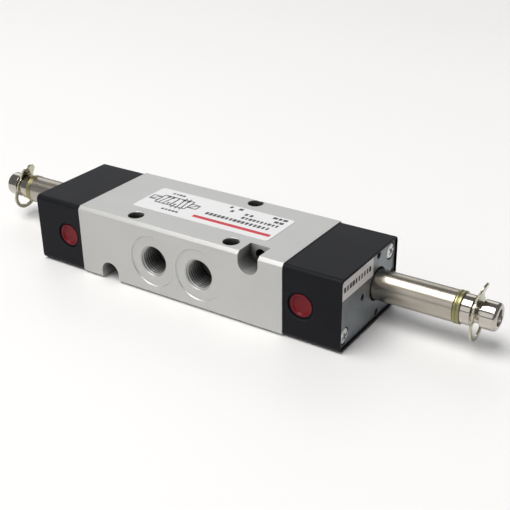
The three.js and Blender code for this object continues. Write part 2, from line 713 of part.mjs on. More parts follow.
function makeOverrideRetainer() {
  const from = -capHalfWidth + OVERRIDE_RETAINER_DEPTH;
  const to = -capHalfWidth + retainerFloor;
  const at = [OVERRIDE_FROM_BODY, 0, 0];
  return ring("y", OVERRIDE_BUTTON_R + RUNNING_FIT, overrideBoreR, from, to, FINE, at);
}

function makeOverrideSeal() {
  const wireR = OVERRIDE_GROOVE_DEPTH / 2 - STATIC_FIT;
  const ringR = overrideFlangeR - OVERRIDE_GROOVE_DEPTH / 2;
  const middle = -capHalfWidth + overrideFlangeTop + OVERRIDE_FLANGE_LENGTH / 2;
  return sealRing("y", ringR, wireR, middle, MEDIUM, [OVERRIDE_FROM_BODY, 0, 0]);
}

// The button's return spring, round its stem, down to the floor of its bore.
function makeOverrideSpring() {
  const from = -capHalfWidth + overrideFlangeFloor;
  const to = -capHalfWidth + overrideBoreDepth;
  const springR = OVERRIDE_STEM_R + OVERRIDE_SPRING_GAP + SPRING_WIRE_R;
  const geometry = springAlongX(springR, from, to, OVERRIDE_SPRING_TURNS);
  return geometry.rotateZ(Math.PI / 2).translate(OVERRIDE_FROM_BODY, 0, 0);
}

function makeTube() {
  const profile = [
    [flangeInner, tubeBoreR],
    [flangeInner, tubeFlangeR],
    [flangeOuter, tubeFlangeR],
    [flangeOuter, TUBE_R],
    [tubeEnd, TUBE_R],
    [tubeEnd, tubeBoreR],
  ];
  return turned("x", profile, FINE, tubeAxis);
}

function makeTubeSeal() {
  const wireR = TUBE_SEAL_WIRE_R - STATIC_FIT;
  return sealRing("x", tubeSealR, wireR, flangeInner - TUBE_SEAL_WIRE_R, MEDIUM, tubeAxis);
}

// The fixed core closes the tube's outer end, and carries the neck and knob that hold a coil's clip.
function makeFixedCore() {
  const innerR = tubeBoreR - STATIC_FIT;
  const profile = [
    [coreFace, 0],
    [coreFace, innerR],
    [shoulderStart, innerR],
    [shoulderStart, shoulderR],
    [neckStart, shoulderR],
    [neckStart, clipNeckR],
    [knobStart, clipNeckR],
    [knobStart, knobR],
  ];
  const roundSteps = 3;
  for (let i = 0; i <= roundSteps; i += 1) {
    const angle = ((i / roundSteps) * Math.PI) / 2;
    const along = knobEnd - KNOB_ROUND + KNOB_ROUND * Math.sin(angle);
    profile.push([along, knobR - KNOB_ROUND + KNOB_ROUND * Math.cos(angle)]);
  }
  const dimpleR = knobR - KNOB_ROUND - KNOB_DIMPLE_RIM;
  profile.push([knobEnd, dimpleR], [knobEnd - KNOB_DIMPLE_DEPTH, dimpleR - KNOB_DIMPLE_DEPTH]);
  profile.push([knobEnd - KNOB_DIMPLE_DEPTH, 0]);
  const groove = ring(
    "x",
    SHADING_RING_INNER_R - STATIC_FIT,
    SHADING_RING_OUTER_R + STATIC_FIT,
    coreFace - 1,
    coreFace + SHADING_RING_DEPTH + STATIC_FIT,
    MEDIUM,
    tubeAxis,
  );
  return turned("x", profile, FINE, tubeAxis).subtract(groove);
}

function makeShadingRing() {
  const to = coreFace + SHADING_RING_DEPTH;
  return ring("x", SHADING_RING_INNER_R, SHADING_RING_OUTER_R, coreFace, to, MEDIUM, tubeAxis);
}

function makeJointRing() {
  return ring("x", tubeBoreR, TUBE_R + JOINT_RING_PROUD, tubeEnd, shoulderStart, FINE, tubeAxis);
}

// The armature, with a pocket for its spring at the outer end and one for its sealing disc at the inner.
function makeArmature() {
  const discPocket = discFace + DISC_THICKNESS + STATIC_FIT;
  const profile = [
    [discPocket, 0],
    [discPocket, DISC_R + STATIC_FIT],
    [armatureInner, DISC_R + STATIC_FIT],
    [armatureInner, armatureR],
    [armatureOuter, armatureR],
    [armatureOuter, ARMATURE_POCKET_R],
    [armatureOuter - ARMATURE_POCKET_DEPTH, ARMATURE_POCKET_R],
    [armatureOuter - ARMATURE_POCKET_DEPTH, 0],
  ];
  return turned("x", profile, FINE, tubeAxis);
}

function makeArmatureSpring() {
  const from = armatureOuter - ARMATURE_POCKET_DEPTH;
  const springR = ARMATURE_POCKET_R - ARMATURE_SPRING_GAP - SPRING_WIRE_R;
  const geometry = springAlongX(springR, from, coreFace, ARMATURE_SPRING_TURNS);
  return geometry.translate(...tubeAxis);
}

function makeDisc() {
  return rod("x", DISC_R, discFace, discFace + DISC_THICKNESS, MEDIUM, tubeAxis);
}

function makeNozzle() {
  const profile = [
    [nozzleFloor, NOZZLE_ORIFICE_R],
    [nozzleFloor, NOZZLE_R],
    [valveChamberFloor, NOZZLE_R],
    [nozzleTip, NOZZLE_TIP_R],
    [nozzleTip, NOZZLE_ORIFICE_R],
  ];
  return turned("x", profile, MEDIUM, tubeAxis);
}

// The clip, flat in Y and Z with its slot's end round the tube's axis, and its tab bent towards +X.
function makeClip() {
  const half = CLIP_THICKNESS / 2;
  const holeAt = [0, 0, -CLIP_RELEASE];
  const tabHalf = CLIP_TAB_WIDTH / 2;
  const tipMiddle = CLIP_TAB_LENGTH - tabHalf;
  const bentTab = rod("x", tabHalf, -half, half, FINE, [0, 0, tipMiddle])
    .add(box([-half, -tabHalf, -half], [half, tabHalf, tipMiddle]))
    .rotate([0, THREE.MathUtils.radToDeg(CLIP_TAB_BEND), 0])
    .translate([0, 0, tabRoot]);
  return rod("x", clipHoleR + CLIP_RING_WIDTH, -half, half, FINE, holeAt)
    .add(rod("x", clipSlotR + CLIP_LEG_WIDTH, -half, half, FINE))
    .add(box([-half, -tabHalf, clipSlotR], [half, tabHalf, tabRoot]))
    .add(bentTab)
    .subtract(rod("x", clipHoleR, -1, 1, FINE, holeAt))
    .subtract(rod("x", clipSlotR, -1, 1, FINE))
    .subtract(box([-1, -clipSlotR, -CLIP_RELEASE], [1, clipSlotR, 0]));
}

// ---------------------------------------------------------------- the two ends

// The left end is the right end given a half turn about Y. Two sign changes make that turn exact.
for (const [side, sign] of [["right", 1], ["left", -1]]) {
  const end = new THREE.Group();
  end.position.set(sign * bodyEnd, 0, midHeight);
  end.scale.set(sign, 1, sign);
  valve.add(end);

  // The spool stands at the right, so the right piston is at the outer end of its chamber.
  const pistonInner = PISTON_END_GAP + (sign > 0 ? SPOOL_STROKE : 0);
  addPiece(end, "piston_" + side, makePiston(pistonInner), "blackPlastic");
  addPiece(end, "piston_seal_" + side, makePistonSeal(pistonInner), "rubber");
  addPiece(end, "end_cap_" + side, makeCap(), "blackPlastic");
  addPiece(end, "cap_seal_" + side, makeFaceSeal(), "rubber");
  addPiece(end, "end_plate_" + side, makeEndPlate(), "zincPlate");
  plateScrewPlaces.forEach(([y, z], i) => {
    addPiece(end, "plate_screw_" + side + "_" + (i + 1), makeScrew(plateScrewSeat, y, z), "brightSteel");
  });
  capScrewPlaces.forEach(([y, z], i) => {
    addPiece(end, "cap_screw_" + side + "_" + (i + 1), makeScrew(capScrewSeat, y, z), "brightSteel");
  });
  addPiece(end, "override_button_" + side, makeOverride(), "redPlastic");
  addPiece(end, "override_retainer_" + side, makeOverrideRetainer(), "blackPlastic");
  addPiece(end, "override_seal_" + side, makeOverrideSeal(), "rubber");
  addPiece(end, "override_spring_" + side, makeOverrideSpring(), "springSteel");
  addPiece(end, "nozzle_seat_" + side, makeNozzle(), "brass");
  addPiece(end, "armature_tube_" + side, makeTube(), "nickelSteel");
  addPiece(end, "tube_seal_" + side, makeTubeSeal(), "rubber");
  addPiece(end, "armature_" + side, makeArmature(), "magneticSteel");
  addPiece(end, "armature_disc_" + side, makeDisc(), "rubber");
  addPiece(end, "armature_spring_" + side, makeArmatureSpring(), "springSteel");
  addPiece(end, "shading_ring_" + side, makeShadingRing(), "copper");
  addPiece(end, "fixed_core_" + side, makeFixedCore(), "nickelSteel");
  addPiece(end, "joint_ring_" + side, makeJointRing(), "yellowZinc");

  // Both clips face the same way, with their tabs up.
  const clip = addPiece(valve, "retaining_clip_" + side, makeClip(), "clipSteel");
  const clipPlace = bodyEnd + neckStart + clipFromShoulder[side];
  clip.position.set(sign * clipPlace, TUBE_Y, midHeight);
  clip.rotation.y = clipTilt[side];
}

// ---------------------------------------------------------------- labels

function makeNameLabel() {
  const { length, width, x, y, corner } = NAME_LABEL;
  const outline = roundedRectangle(x, y, length / 2, width / 2, corner, 3);
  const geometry = new THREE.ExtrudeGeometry(outline, { depth: LABEL_THICKNESS, bevelEnabled: false });
  return solidOf(geometry.translate(0, 0, BODY_HEIGHT));
}

// The sticker fills the upper front corner of the right end plate, up to the tube's hole.
function makeSticker() {
  const { height, corner, edgeGap, tubeGap } = STICKER;
  const bottom = plateHalfHeight - edgeGap - height;
  const reach = tubeHoleR + tubeGap;
  const yTo = TUBE_Y - Math.sqrt(Math.max(reach * reach - bottom * bottom, 0));
  const yFrom = -plateHalfWidth + edgeGap;
  const width = yTo - yFrom;
  const z = midHeight + bottom + height / 2;
  const outline = roundedRectangle(yFrom + width / 2, z, width / 2, height / 2, corner, 2);
  const from = bodyEnd + plateOuter;
  return slabAlongX(outline, from, from + LABEL_THICKNESS);
}

addPiece(valve, "name_label", makeNameLabel(), "whiteLabel");
addPiece(valve, "end_sticker", makeSticker(), "greySticker");

export default valve;
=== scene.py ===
import math

import bmesh
import bpy
from mathutils import Matrix, Vector


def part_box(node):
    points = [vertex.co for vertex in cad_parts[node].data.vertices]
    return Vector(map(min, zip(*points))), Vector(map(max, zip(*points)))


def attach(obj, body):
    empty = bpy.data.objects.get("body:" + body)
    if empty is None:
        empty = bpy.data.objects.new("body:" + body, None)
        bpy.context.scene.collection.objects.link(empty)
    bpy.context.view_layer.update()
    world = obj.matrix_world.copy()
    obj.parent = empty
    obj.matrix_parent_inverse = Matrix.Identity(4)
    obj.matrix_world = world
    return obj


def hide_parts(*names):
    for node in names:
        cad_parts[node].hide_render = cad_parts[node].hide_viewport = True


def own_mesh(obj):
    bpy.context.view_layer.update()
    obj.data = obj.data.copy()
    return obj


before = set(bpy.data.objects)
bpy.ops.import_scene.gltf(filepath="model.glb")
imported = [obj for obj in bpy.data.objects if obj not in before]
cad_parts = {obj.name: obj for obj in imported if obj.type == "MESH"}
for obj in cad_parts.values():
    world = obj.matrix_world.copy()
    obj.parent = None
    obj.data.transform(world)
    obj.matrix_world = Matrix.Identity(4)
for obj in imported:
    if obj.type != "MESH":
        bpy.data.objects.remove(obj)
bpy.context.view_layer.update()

# ------------------------------------------------------------------ studio
# The valve lies on a pale table under three large soft boxes, one overhead, one behind and one in front,
# and is seen from above its front right-hand corner.
mm = 0.001
AIM = Vector((9.8, 10.5, 6.6)) * mm
CAMERA_DISTANCE = 284.8 * mm
CAMERA_AZIMUTH = math.radians(33.77)
CAMERA_ELEVATION = math.radians(26.6)
CAMERA_ROLL = math.radians(-0.877)
TABLE_SIZE = 6.0


def facing(azimuth, elevation, roll=0.0):
    """The turn of a camera or lamp that looks at the valve from this direction, and the way back to it."""
    back = Vector(
        (
            math.sin(azimuth) * math.cos(elevation),
            -math.cos(azimuth) * math.cos(elevation),
            math.sin(elevation),
        )
    )
    return back.to_track_quat("Z", "Y").to_matrix().to_4x4() @ Matrix.Rotation(roll, 4, "Z"), back


lens = bpy.data.cameras.new("camera")
lens.lens = 65.16
lens.sensor_width = 36
lens.clip_start = 0.01
camera = bpy.data.objects.new("camera", lens)
bpy.context.scene.collection.objects.link(camera)
turn, back = facing(CAMERA_AZIMUTH, CAMERA_ELEVATION, CAMERA_ROLL)
camera.matrix_world = Matrix.Translation(AIM + back * CAMERA_DISTANCE) @ turn
bpy.context.scene.camera = camera


def soft_box(name, azimuth, elevation, distance, width, height, power, colour):
    lamp = bpy.data.lights.new(name, "AREA")
    lamp.shape = "RECTANGLE"
    lamp.size = width
    lamp.size_y = height
    lamp.energy = power
    lamp.color = colour
    holder = bpy.data.objects.new(name, lamp)
    bpy.context.scene.collection.objects.link(holder)
    turn, back = facing(math.radians(azimuth), math.radians(elevation))
    holder.matrix_world = Matrix.Translation(AIM + back * distance) @ turn


soft_box("overhead_box", -30, 68, 2.0, 1.75, 1.25, 40, (1.0, 0.985, 0.96))
soft_box("back_box", -146, 30, 2.2, 2.4, 1.1, 9, (1.0, 1.0, 1.0))
soft_box("front_box", -22, 22, 2.75, 2.0, 1.5, 8, (0.98, 0.99, 1.0))

ROOM_LIGHT = 0.20
ROOM_BRIGHTNESS = 0.95
world = bpy.data.worlds.new("room")
world.use_nodes = True
world.node_tree.nodes["Background"].inputs["Color"].default_value = (0.93, 0.95, 1.0, 1)
seen = world.node_tree.nodes.new("ShaderNodeLightPath").outputs["Is Camera Ray"]
strength = world.node_tree.nodes.new("ShaderNodeMapRange")
strength.inputs["To Min"].default_value = ROOM_LIGHT
strength.inputs["To Max"].default_value = ROOM_BRIGHTNESS
world.node_tree.links.new(seen, strength.inputs["Value"])
world.node_tree.links.new(strength.outputs["Result"], world.node_tree.nodes["Background"].inputs["Strength"])
bpy.context.scene.world = world
bpy.context.scene.view_settings.view_transform = "Standard"


def add(tree, kind, inputs=None, **settings):
    """A node in the tree, with its settings. A socket given as an input is linked, and a value is set."""
    node = tree.nodes.new(kind)
    for key, value in settings.items():
        setattr(node, key, value)
    for key, value in (inputs or {}).items():
        if isinstance(value, bpy.types.NodeSocket):
            tree.links.new(value, node.inputs[key])
        else:
            node.inputs[key].default_value = value
    return node


def new_material(name, **constants):
    """A material with these constants on its Principled BSDF, and its tree, shader and object coordinates."""
    material = bpy.data.materials.new(name)
    material.use_nodes = True
    tree = material.node_tree
    shader = tree.nodes["Principled BSDF"]
    for key, value in constants.items():
        shader.inputs[key.replace("_", " ").title().replace("Ior", "IOR")].default_value = value
    place = add(tree, "ShaderNodeTexCoord").outputs["Object"]
    return material, tree, shader, place


def colour_between(tree, factor, low, high):
    """A colour that runs from low to high with the factor."""
    ramp = add(tree, "ShaderNodeValToRGB", {"Fac": factor})
    ramp.color_ramp.elements[0].color = (*low, 1)
    ramp.color_ramp.elements[1].color = (*high, 1)
    return ramp.outputs["Color"]


def value_between(tree, factor, low, high):
    """A value that runs from low to high with the factor."""
    return add(tree, "ShaderNodeMapRange", {"Value": factor, "To Min": low, "To Max": high}).outputs["Result"]


table_finish, tree, shader, place = new_material("table_white", roughness=0.45)
cloud = add(tree, "ShaderNodeTexNoise", {"Vector": place, "Scale": 3.0, "Detail": 2.0}).outputs["Fac"]
tree.links.new(
    colour_between(tree, cloud, (0.90, 0.895, 0.89), (0.94, 0.935, 0.93)), shader.inputs["Base Color"]
)
table_mesh = bpy.data.meshes.new("table")
half = TABLE_SIZE / 2
table_mesh.from_pydata(
    [(-half, -half, 0), (half, -half, 0), (half, half, 0), (-half, half, 0)], [], [(0, 1, 2, 3)]
)
table_mesh.materials.append(table_finish)
table = bpy.data.objects.new("table", table_mesh)
bpy.context.scene.collection.objects.link(table)

# ------------------------------------------------------------------ valve body
# A block sawn from an aluminium extrusion, with its long corners bevelled, and satin finished. It is bored
# for the spool, tapped G1/8 on the front and back in spot faces, and drilled for M4 and M3 bolts.
body_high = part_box("valve_body")[1]
half_length = body_high.x
half_width = body_high.y
height = body_high.z
mid = height / 2
BODY_BEVEL = 1.0 * mm
BODY_BEVEL_EASE = 0.35 * mm
SAWN_EASE = 0.12 * mm
PORT_PITCH = 16.5 * mm
PORT_MINOR_R = 4.283 * mm
PORT_MOUTH_R = 4.9 * mm
PORT_DEPTH = 8 * mm
PORT_PASSAGE_R = 2.3 * mm
THREAD_PITCH = 0.907 * mm
THREAD_HEIGHT = 0.58 * mm
THREAD_LENGTH = 7.2 * mm
SPOT_FACE_R = 8.05 * mm
SPOT_FACE_DEPTH = 0.3 * mm
FOOT_HOLE_R = 2.4 * mm
FOOT_HOLES = [(-17.15 * mm, -12.35 * mm), (17.15 * mm, -12.35 * mm), (8.25 * mm, 13.65 * mm)]
BOLT_X = 25.5 * mm
BOLT_FROM_EDGE = 2.9 * mm
BOLT_HEAD_R = 3.3 * mm
BOLT_HEAD_DEPTH = 6.7 * mm
BOLT_HOLE_R = 1.7 * mm
SPOOL_BORE_R = 4.55 * mm
SEAL_GROOVE_R = 6.2 * mm
SEAL_GROOVE_WIDTH = 2 * mm
GALLERY_R = 5.6 * mm
GALLERY_WIDTH = 4.6 * mm
SCREW_Y = 13.2 * mm
SCREW_Z = 7.19 * mm
SCREW_HOLE_R = 1.3 * mm
SCREW_HOLE_DEPTH = 6.1 * mm
LIP = 0.12 * mm  # the small chamfer that deburring leaves on a drilled edge


def eased(points, radius, steps=4, closed=True):
    """The same outline with each corner rounded, by the radius or as far as its shorter side allows."""
    result = []
    count = len(points)
    for i, point in enumerate(points):
        if not closed and i in (0, count - 1):
            result.append(Vector(point))
            continue
        here = Vector(point)
        before = Vector(points[i - 1]) - here
        after = Vector(points[(i + 1) % count]) - here
        angle = before.angle(after)
        reach = radius / math.tan(angle / 2) if angle < math.radians(179) else 0
        reach = min(reach, 0.45 * before.length, 0.45 * after.length)
        start = here + before.normalized() * reach
        end = here + after.normalized() * reach
        if reach == 0:
            result.append(here)
            continue
        bend = reach * math.tan(angle / 2)
        centre = here + (before.normalized() + after.normalized()).normalized() * bend / math.sin(angle / 2)
        sweep = math.pi - angle
        first = start - centre
        sign = 1 if first.cross(end - centre) > 0 else -1
        for k in range(steps + 1):
            a = sign * sweep * k / steps
            result.append(
                centre
                + Vector(
                    (
                        first.x * math.cos(a) - first.y * math.sin(a),
                        first.x * math.sin(a) + first.y * math.cos(a),
                    )
                )
            )
    return result


def tidy_mesh(name, vertices, faces):
    """A closed mesh of these faces with its normals turned outwards."""
    mesh = bpy.data.meshes.new(name)
    mesh.from_pydata(vertices, [], faces)
    work = bmesh.new()
    work.from_mesh(mesh)
    bmesh.ops.recalc_face_normals(work, faces=work.faces)
    work.to_mesh(mesh)
    work.free()
    return mesh


def turned(profile, axis="X", at=(0, 0, 0), sides=64):
    """A turned solid. The profile lists (along, radius) from axis to axis, or round the section of a ring."""
    is_ring = profile[0][1] > 0
    vertices = []
    rows = []
    for along, radius in profile:
        count = sides if radius > 0 else 1
        rows.append(range(len(vertices), len(vertices) + count))
        for i in range(count):
            a = 2 * math.pi * i / sides
            vertices.append(Vector((along, radius * math.cos(a), radius * math.sin(a))))
    faces = []
    for k in range(len(rows) if is_ring else len(rows) - 1):
        low, high = rows[k], rows[(k + 1) % len(rows)]
        for i in range(sides):
            j = (i + 1) % sides
            corners = [low[i % len(low)], low[j % len(low)], high[j % len(high)], high[i % len(high)]]
            corners = list(dict.fromkeys(corners))
            if len(corners) > 2:
                faces.append(corners)
    turns = {
        "X": Matrix.Identity(3),
        "Y": Matrix.Rotation(math.pi / 2, 3, "Z"),
        "Z": Matrix.Rotation(-math.pi / 2, 3, "Y")
    }
    return tidy_mesh("turned", [turns[axis] @ v + Vector(at) for v in vertices], faces)


def drill(radius, start, end, axis, at=(0, 0, 0), sides=48, lip=LIP):
    """A plain round cutter from start to end along the axis, which leaves a small chamfer where it starts."""
    way = 1 if end > start else -1
    profile = [
        (start - way * lip, 0),
        (start - way * lip, radius + 2 * lip),
        (start + way * lip, radius),
        (end, radius),
        (end, 0)
    ]
    return turned(profile, axis, at, sides)


def inset(outline, depth):
    """The outline moved inwards by the depth. The outline runs anticlockwise."""
    result = []
    for i, here in enumerate(outline):
        one = (here - outline[i - 1]).normalized()
        two = (outline[(i + 1) % len(outline)] - here).normalized()
        inward = Vector((-one.y - two.y, one.x + two.x)).normalized()
        result.append(here + inward * depth / max(0.5, inward.dot(Vector((-one.y, one.x)))))
    return result


def bar(outline, start, end, ease_start=0.0, ease_end=0.0, steps=3):
    """A solid of this Y and Z outline from start to end along X, with its end edges rounded."""
    stations = []
    for k in range(steps + 1 if ease_start else 1):
        a = math.pi / 2 * (k / steps if ease_start else 1)
        stations.append((start + ease_start * (1 - math.sin(a)), ease_start * (1 - math.cos(a))))
    stations = [(x, d) for x, d in stations][::-1] if ease_start else stations
    stations = sorted(stations, key=lambda station: station[0])
    for k in range(steps + 1 if ease_end else 1):
        a = math.pi / 2 * (k / steps if ease_end else 0)
        stations.append((end - ease_end * (1 - math.sin(a)), ease_end * (1 - math.cos(a))))
    vertices = []
    faces = []
    count = len(outline)
    for x, depth in stations:
        vertices += [(x, p.x, p.y) for p in (inset(outline, depth) if depth else outline)]
    for k in range(len(stations) - 1):
        for i in range(count):
            j = (i + 1) % count
            faces.append((k * count + i, k * count + j, (k + 1) * count + j, (k + 1) * count + i))
    faces.append(tuple(range(count))[::-1])
    faces.append(tuple(range((len(stations) - 1) * count, len(stations) * count)))
    return tidy_mesh("bar", vertices, faces)


def rectangle(y, z, half_y, half_z):
    return [
        (y + half_y, z - half_z), (y + half_y, z + half_z), (y - half_y, z + half_z), (y - half_y, z - half_z)
    ]


def shaped(blank, tools, operation="DIFFERENCE"):
    """The blank with each tool's solid taken away from it, or joined to it with UNION."""
    work = bpy.data.objects.new("blank", blank)
    bpy.context.scene.collection.objects.link(work)
    helpers = []
    for tool in tools:
        helper = bpy.data.objects.new("tool", tool)
        bpy.context.scene.collection.objects.link(helper)
        helpers.append(helper)
        step = work.modifiers.new("cut", "BOOLEAN")
        step.operation = operation
        step.solver = "MANIFOLD"
        step.object = helper
    result = bpy.data.meshes.new_from_object(work.evaluated_get(bpy.context.evaluated_depsgraph_get()))
    for helper in [work, *helpers]:
        bpy.data.objects.remove(helper)
    return result


def piece_of(name, mesh, material, sharp=35):
    """A finished object of this mesh, smooth but for its sharp edges, with flat faces that shade flat."""
    mesh.name = name
    mesh.shade_smooth()
    mesh.set_sharp_from_angle(angle=math.radians(sharp))
    mesh.materials.clear()
    mesh.materials.append(material)
    piece = bpy.data.objects.new(name, mesh)
    bpy.context.scene.collection.objects.link(piece)
    weighting = piece.modifiers.new("weighted_normals", "WEIGHTED_NORMAL")
    weighting.keep_sharp = True
    return piece


def node_tree(name, inputs):
    """An empty Geometry Nodes tree with these named inputs, its input node, and a way to close it."""
    tree = bpy.data.node_groups.new(name, "GeometryNodeTree")
    for key, (kind, value) in inputs.items():
        socket = tree.interface.new_socket(key, in_out="INPUT", socket_type="NodeSocket" + kind)
        if value is not None:
            socket.default_value = value
    tree.interface.new_socket("Geometry", in_out="OUTPUT", socket_type="NodeSocketGeometry")
    source = tree.nodes.new("NodeGroupInput")

    def close(geometry):
        realized = add(tree, "GeometryNodeRealizeInstances", {"Geometry": geometry})
        painted = add(
            tree,
            "GeometryNodeSetMaterial",
            {"Geometry": realized.outputs["Geometry"], "Material": source.outputs["Finish"]},
        )
        end = tree.nodes.new("NodeGroupOutput")
        tree.links.new(painted.outputs["Geometry"], end.inputs["Geometry"])

    return tree, source.outputs, close


def calculate(tree, operation, *values):
    """A maths node's result."""
    return add(tree, "ShaderNodeMath", dict(enumerate(values)), operation=operation).outputs[0]


def made_by(tree, values):
    """The plain mesh that a tree makes with these inputs."""
    holder = bpy.data.objects.new(tree.name, bpy.data.meshes.new(tree.name))
    bpy.context.scene.collection.objects.link(holder)
    modifier = holder.modifiers.new(tree.name, "NODES")
    modifier.node_group = tree
    for item in tree.interface.items_tree:
        if item.name in values:
            modifier[item.identifier] = values[item.name]
    result = bpy.data.meshes.new_from_object(holder.evaluated_get(bpy.context.evaluated_depsgraph_get()))
    bpy.data.objects.remove(holder)
    return result


# A screw thread: a rod whose radius rises and falls along a helix, and runs out at both ends.
thread_tree, given, close = node_tree(
    "thread",
    {
        "Core Radius": ("Float", 0.004),
        "Height": ("Float", 0.0005),
        "Pitch": ("Float", 0.001),
        "Length": ("Float", 0.01),
        "Run Out": ("Float", 0.0005),
        "Sides": ("Int", 64),
        "Rows": ("Int", 100),
        "Finish": ("Material", None),
    },
)
rod = add(
    thread_tree,
    "GeometryNodeMeshCylinder",
    {
        "Vertices": given["Sides"],
        "Side Segments": given["Rows"],
        "Radius": given["Core Radius"],
        "Depth": given["Length"],
    },
    fill_type="TRIANGLE_FAN",
)
where = add(
    thread_tree, "ShaderNodeSeparateXYZ", {0: add(thread_tree, "GeometryNodeInputPosition").outputs[0]}
)
angle = calculate(thread_tree, "ARCTAN2", where.outputs["Y"], where.outputs["X"])
turns_round = calculate(thread_tree, "DIVIDE", angle, 2 * math.pi)
turns_along = calculate(thread_tree, "DIVIDE", where.outputs["Z"], given["Pitch"])
phase = calculate(thread_tree, "FRACT", calculate(thread_tree, "SUBTRACT", turns_along, turns_round))
slope = calculate(thread_tree, "ABSOLUTE", calculate(thread_tree, "MULTIPLY_ADD", phase, 2.0, -1.0))
crest = add(
    thread_tree, "ShaderNodeMapRange", {"Value": slope, "From Min": 0.12, "From Max": 0.88}
).outputs["Result"]
from_end = calculate(
    thread_tree,
    "SUBTRACT",
    calculate(thread_tree, "MULTIPLY", given["Length"], 0.5),
    calculate(thread_tree, "ABSOLUTE", where.outputs["Z"]),
)
run_out = add(
    thread_tree, "ShaderNodeMapRange", {"Value": from_end, "From Max": given["Run Out"]}
).outputs["Result"]
rise = calculate(thread_tree, "MULTIPLY", calculate(thread_tree, "MULTIPLY", crest, run_out), given["Height"])
outward = add(
    thread_tree,
    "ShaderNodeVectorMath",
    {0: add(thread_tree, "ShaderNodeCombineXYZ", {0: where.outputs["X"], 1: where.outputs["Y"]}).outputs[0]},
    operation="NORMALIZE",
).outputs[0]
shift = add(thread_tree, "ShaderNodeVectorMath", {0: outward, "Scale": rise}, operation="SCALE").outputs[0]
close(
    add(thread_tree, "GeometryNodeSetPosition", {"Geometry": rod.outputs["Mesh"], "Offset": shift}).outputs[0]
)


def tap(x, side, finish):
    """The cutter for one port's thread, from outside the face inwards. Side -1 is the front."""
    rows_a_turn = 12
    length = THREAD_LENGTH + 2 * THREAD_PITCH
    mesh = made_by(
        thread_tree,
        {
            "Core Radius": PORT_MINOR_R,
            "Height": THREAD_HEIGHT,
            "Pitch": THREAD_PITCH,
            "Length": length,
            "Run Out": THREAD_PITCH,
            "Sides": 72,
            "Rows": round(length / THREAD_PITCH * rows_a_turn),
            "Finish": finish,
        },
    )
    middle = side * (half_width - THREAD_LENGTH / 2 + THREAD_PITCH / 2)
    mesh.transform(Matrix.Translation((x, middle, mid)) @ Matrix.Rotation(-side * math.pi / 2, 4, "X"))
    return mesh


def port(x, side):
    """The cutter for one port's spot face, mouth, tapping drill and passage."""
    face = side * half_width
    level = lambda depth: face - side * depth
    profile = [
        (level(-LIP), 0),
        (level(-LIP), SPOT_FACE_R + 2 * LIP),
        (level(LIP), SPOT_FACE_R),
        (level(SPOT_FACE_DEPTH), SPOT_FACE_R - LIP),
        (level(SPOT_FACE_DEPTH), PORT_MOUTH_R),
        (level(SPOT_FACE_DEPTH + PORT_MOUTH_R - PORT_MINOR_R), PORT_MINOR_R),
        (level(PORT_DEPTH), PORT_MINOR_R),
        (level(PORT_DEPTH + 1 * mm), PORT_PASSAGE_R),
        (side * SPOOL_BORE_R / 2, PORT_PASSAGE_R),
        (side * SPOOL_BORE_R / 2, 0),
    ]
    return turned(profile, "Y", (x, 0, mid), 96)


# Shared by every finish: soft clouds of shade and a fine grain, from the place on the object.
mottle = bpy.data.node_groups.new("mottle", "ShaderNodeTree")
mottle.interface.new_socket("Vector", in_out="INPUT", socket_type="NodeSocketVector")
for key, value in (("Cloud Size", 0.01), ("Grain Size", 0.0003)):
    mottle.interface.new_socket(key, in_out="INPUT", socket_type="NodeSocketFloat").default_value = value
for key in ("Cloud", "Grain"):
    mottle.interface.new_socket(key, in_out="OUTPUT", socket_type="NodeSocketFloat")
given = mottle.nodes.new("NodeGroupInput").outputs
result = mottle.nodes.new("NodeGroupOutput")
for key, detail in (("Cloud", 3.0), ("Grain", 2.0)):
    scale = add(mottle, "ShaderNodeMath", {0: 1.0, 1: given[key + " Size"]}, operation="DIVIDE").outputs[0]
    noise = add(mottle, "ShaderNodeTexNoise", {"Vector": given["Vector"], "Scale": scale, "Detail": detail})
    mottle.links.new(noise.outputs["Fac"], result.inputs[key])

# Shared by metals and plastics: how near a place is to an edge, worn unevenly.
edge_wear = bpy.data.node_groups.new("edge_wear", "ShaderNodeTree")
for key, kind, value in (
    ("Vector", "Vector", None), ("Width", "Float", 0.0003), ("Patch Size", "Float", 0.002)
):
    socket = edge_wear.interface.new_socket(key, in_out="INPUT", socket_type="NodeSocket" + kind)
    if value is not None:
        socket.default_value = value
edge_wear.interface.new_socket("Wear", in_out="OUTPUT", socket_type="NodeSocketFloat")
given = edge_wear.nodes.new("NodeGroupInput").outputs
round_normal = add(edge_wear, "ShaderNodeBevel", {"Radius": given["Width"]}, samples=4).outputs[0]
true_normal = add(edge_wear, "ShaderNodeNewGeometry").outputs["Normal"]
agreement = add(edge_wear, "ShaderNodeVectorMath", {0: round_normal, 1: true_normal}, operation="DOT_PRODUCT")
near = add(
    edge_wear,
    "ShaderNodeMapRange",
    {"Value": agreement.outputs["Value"], "From Min": 0.995, "From Max": 0.85}
)
scale = add(edge_wear, "ShaderNodeMath", {0: 1.0, 1: given["Patch Size"]}, operation="DIVIDE").outputs[0]
patches = add(edge_wear, "ShaderNodeTexNoise", {"Vector": given["Vector"], "Scale": scale, "Detail": 3.0})
worn = add(
    edge_wear, "ShaderNodeMapRange", {"Value": patches.outputs["Fac"], "From Min": 0.35, "From Max": 0.65}
)
both = add(
    edge_wear, "ShaderNodeMath", {0: near.outputs["Result"], 1: worn.outputs["Result"]}, operation="MULTIPLY"
)
edge_wear_out = edge_wear.nodes.new("NodeGroupOutput")
edge_wear.links.new(both.outputs[0], edge_wear_out.inputs["Wear"])


def group(tree, shared, inputs):
    return add_group(tree, shared, inputs).outputs


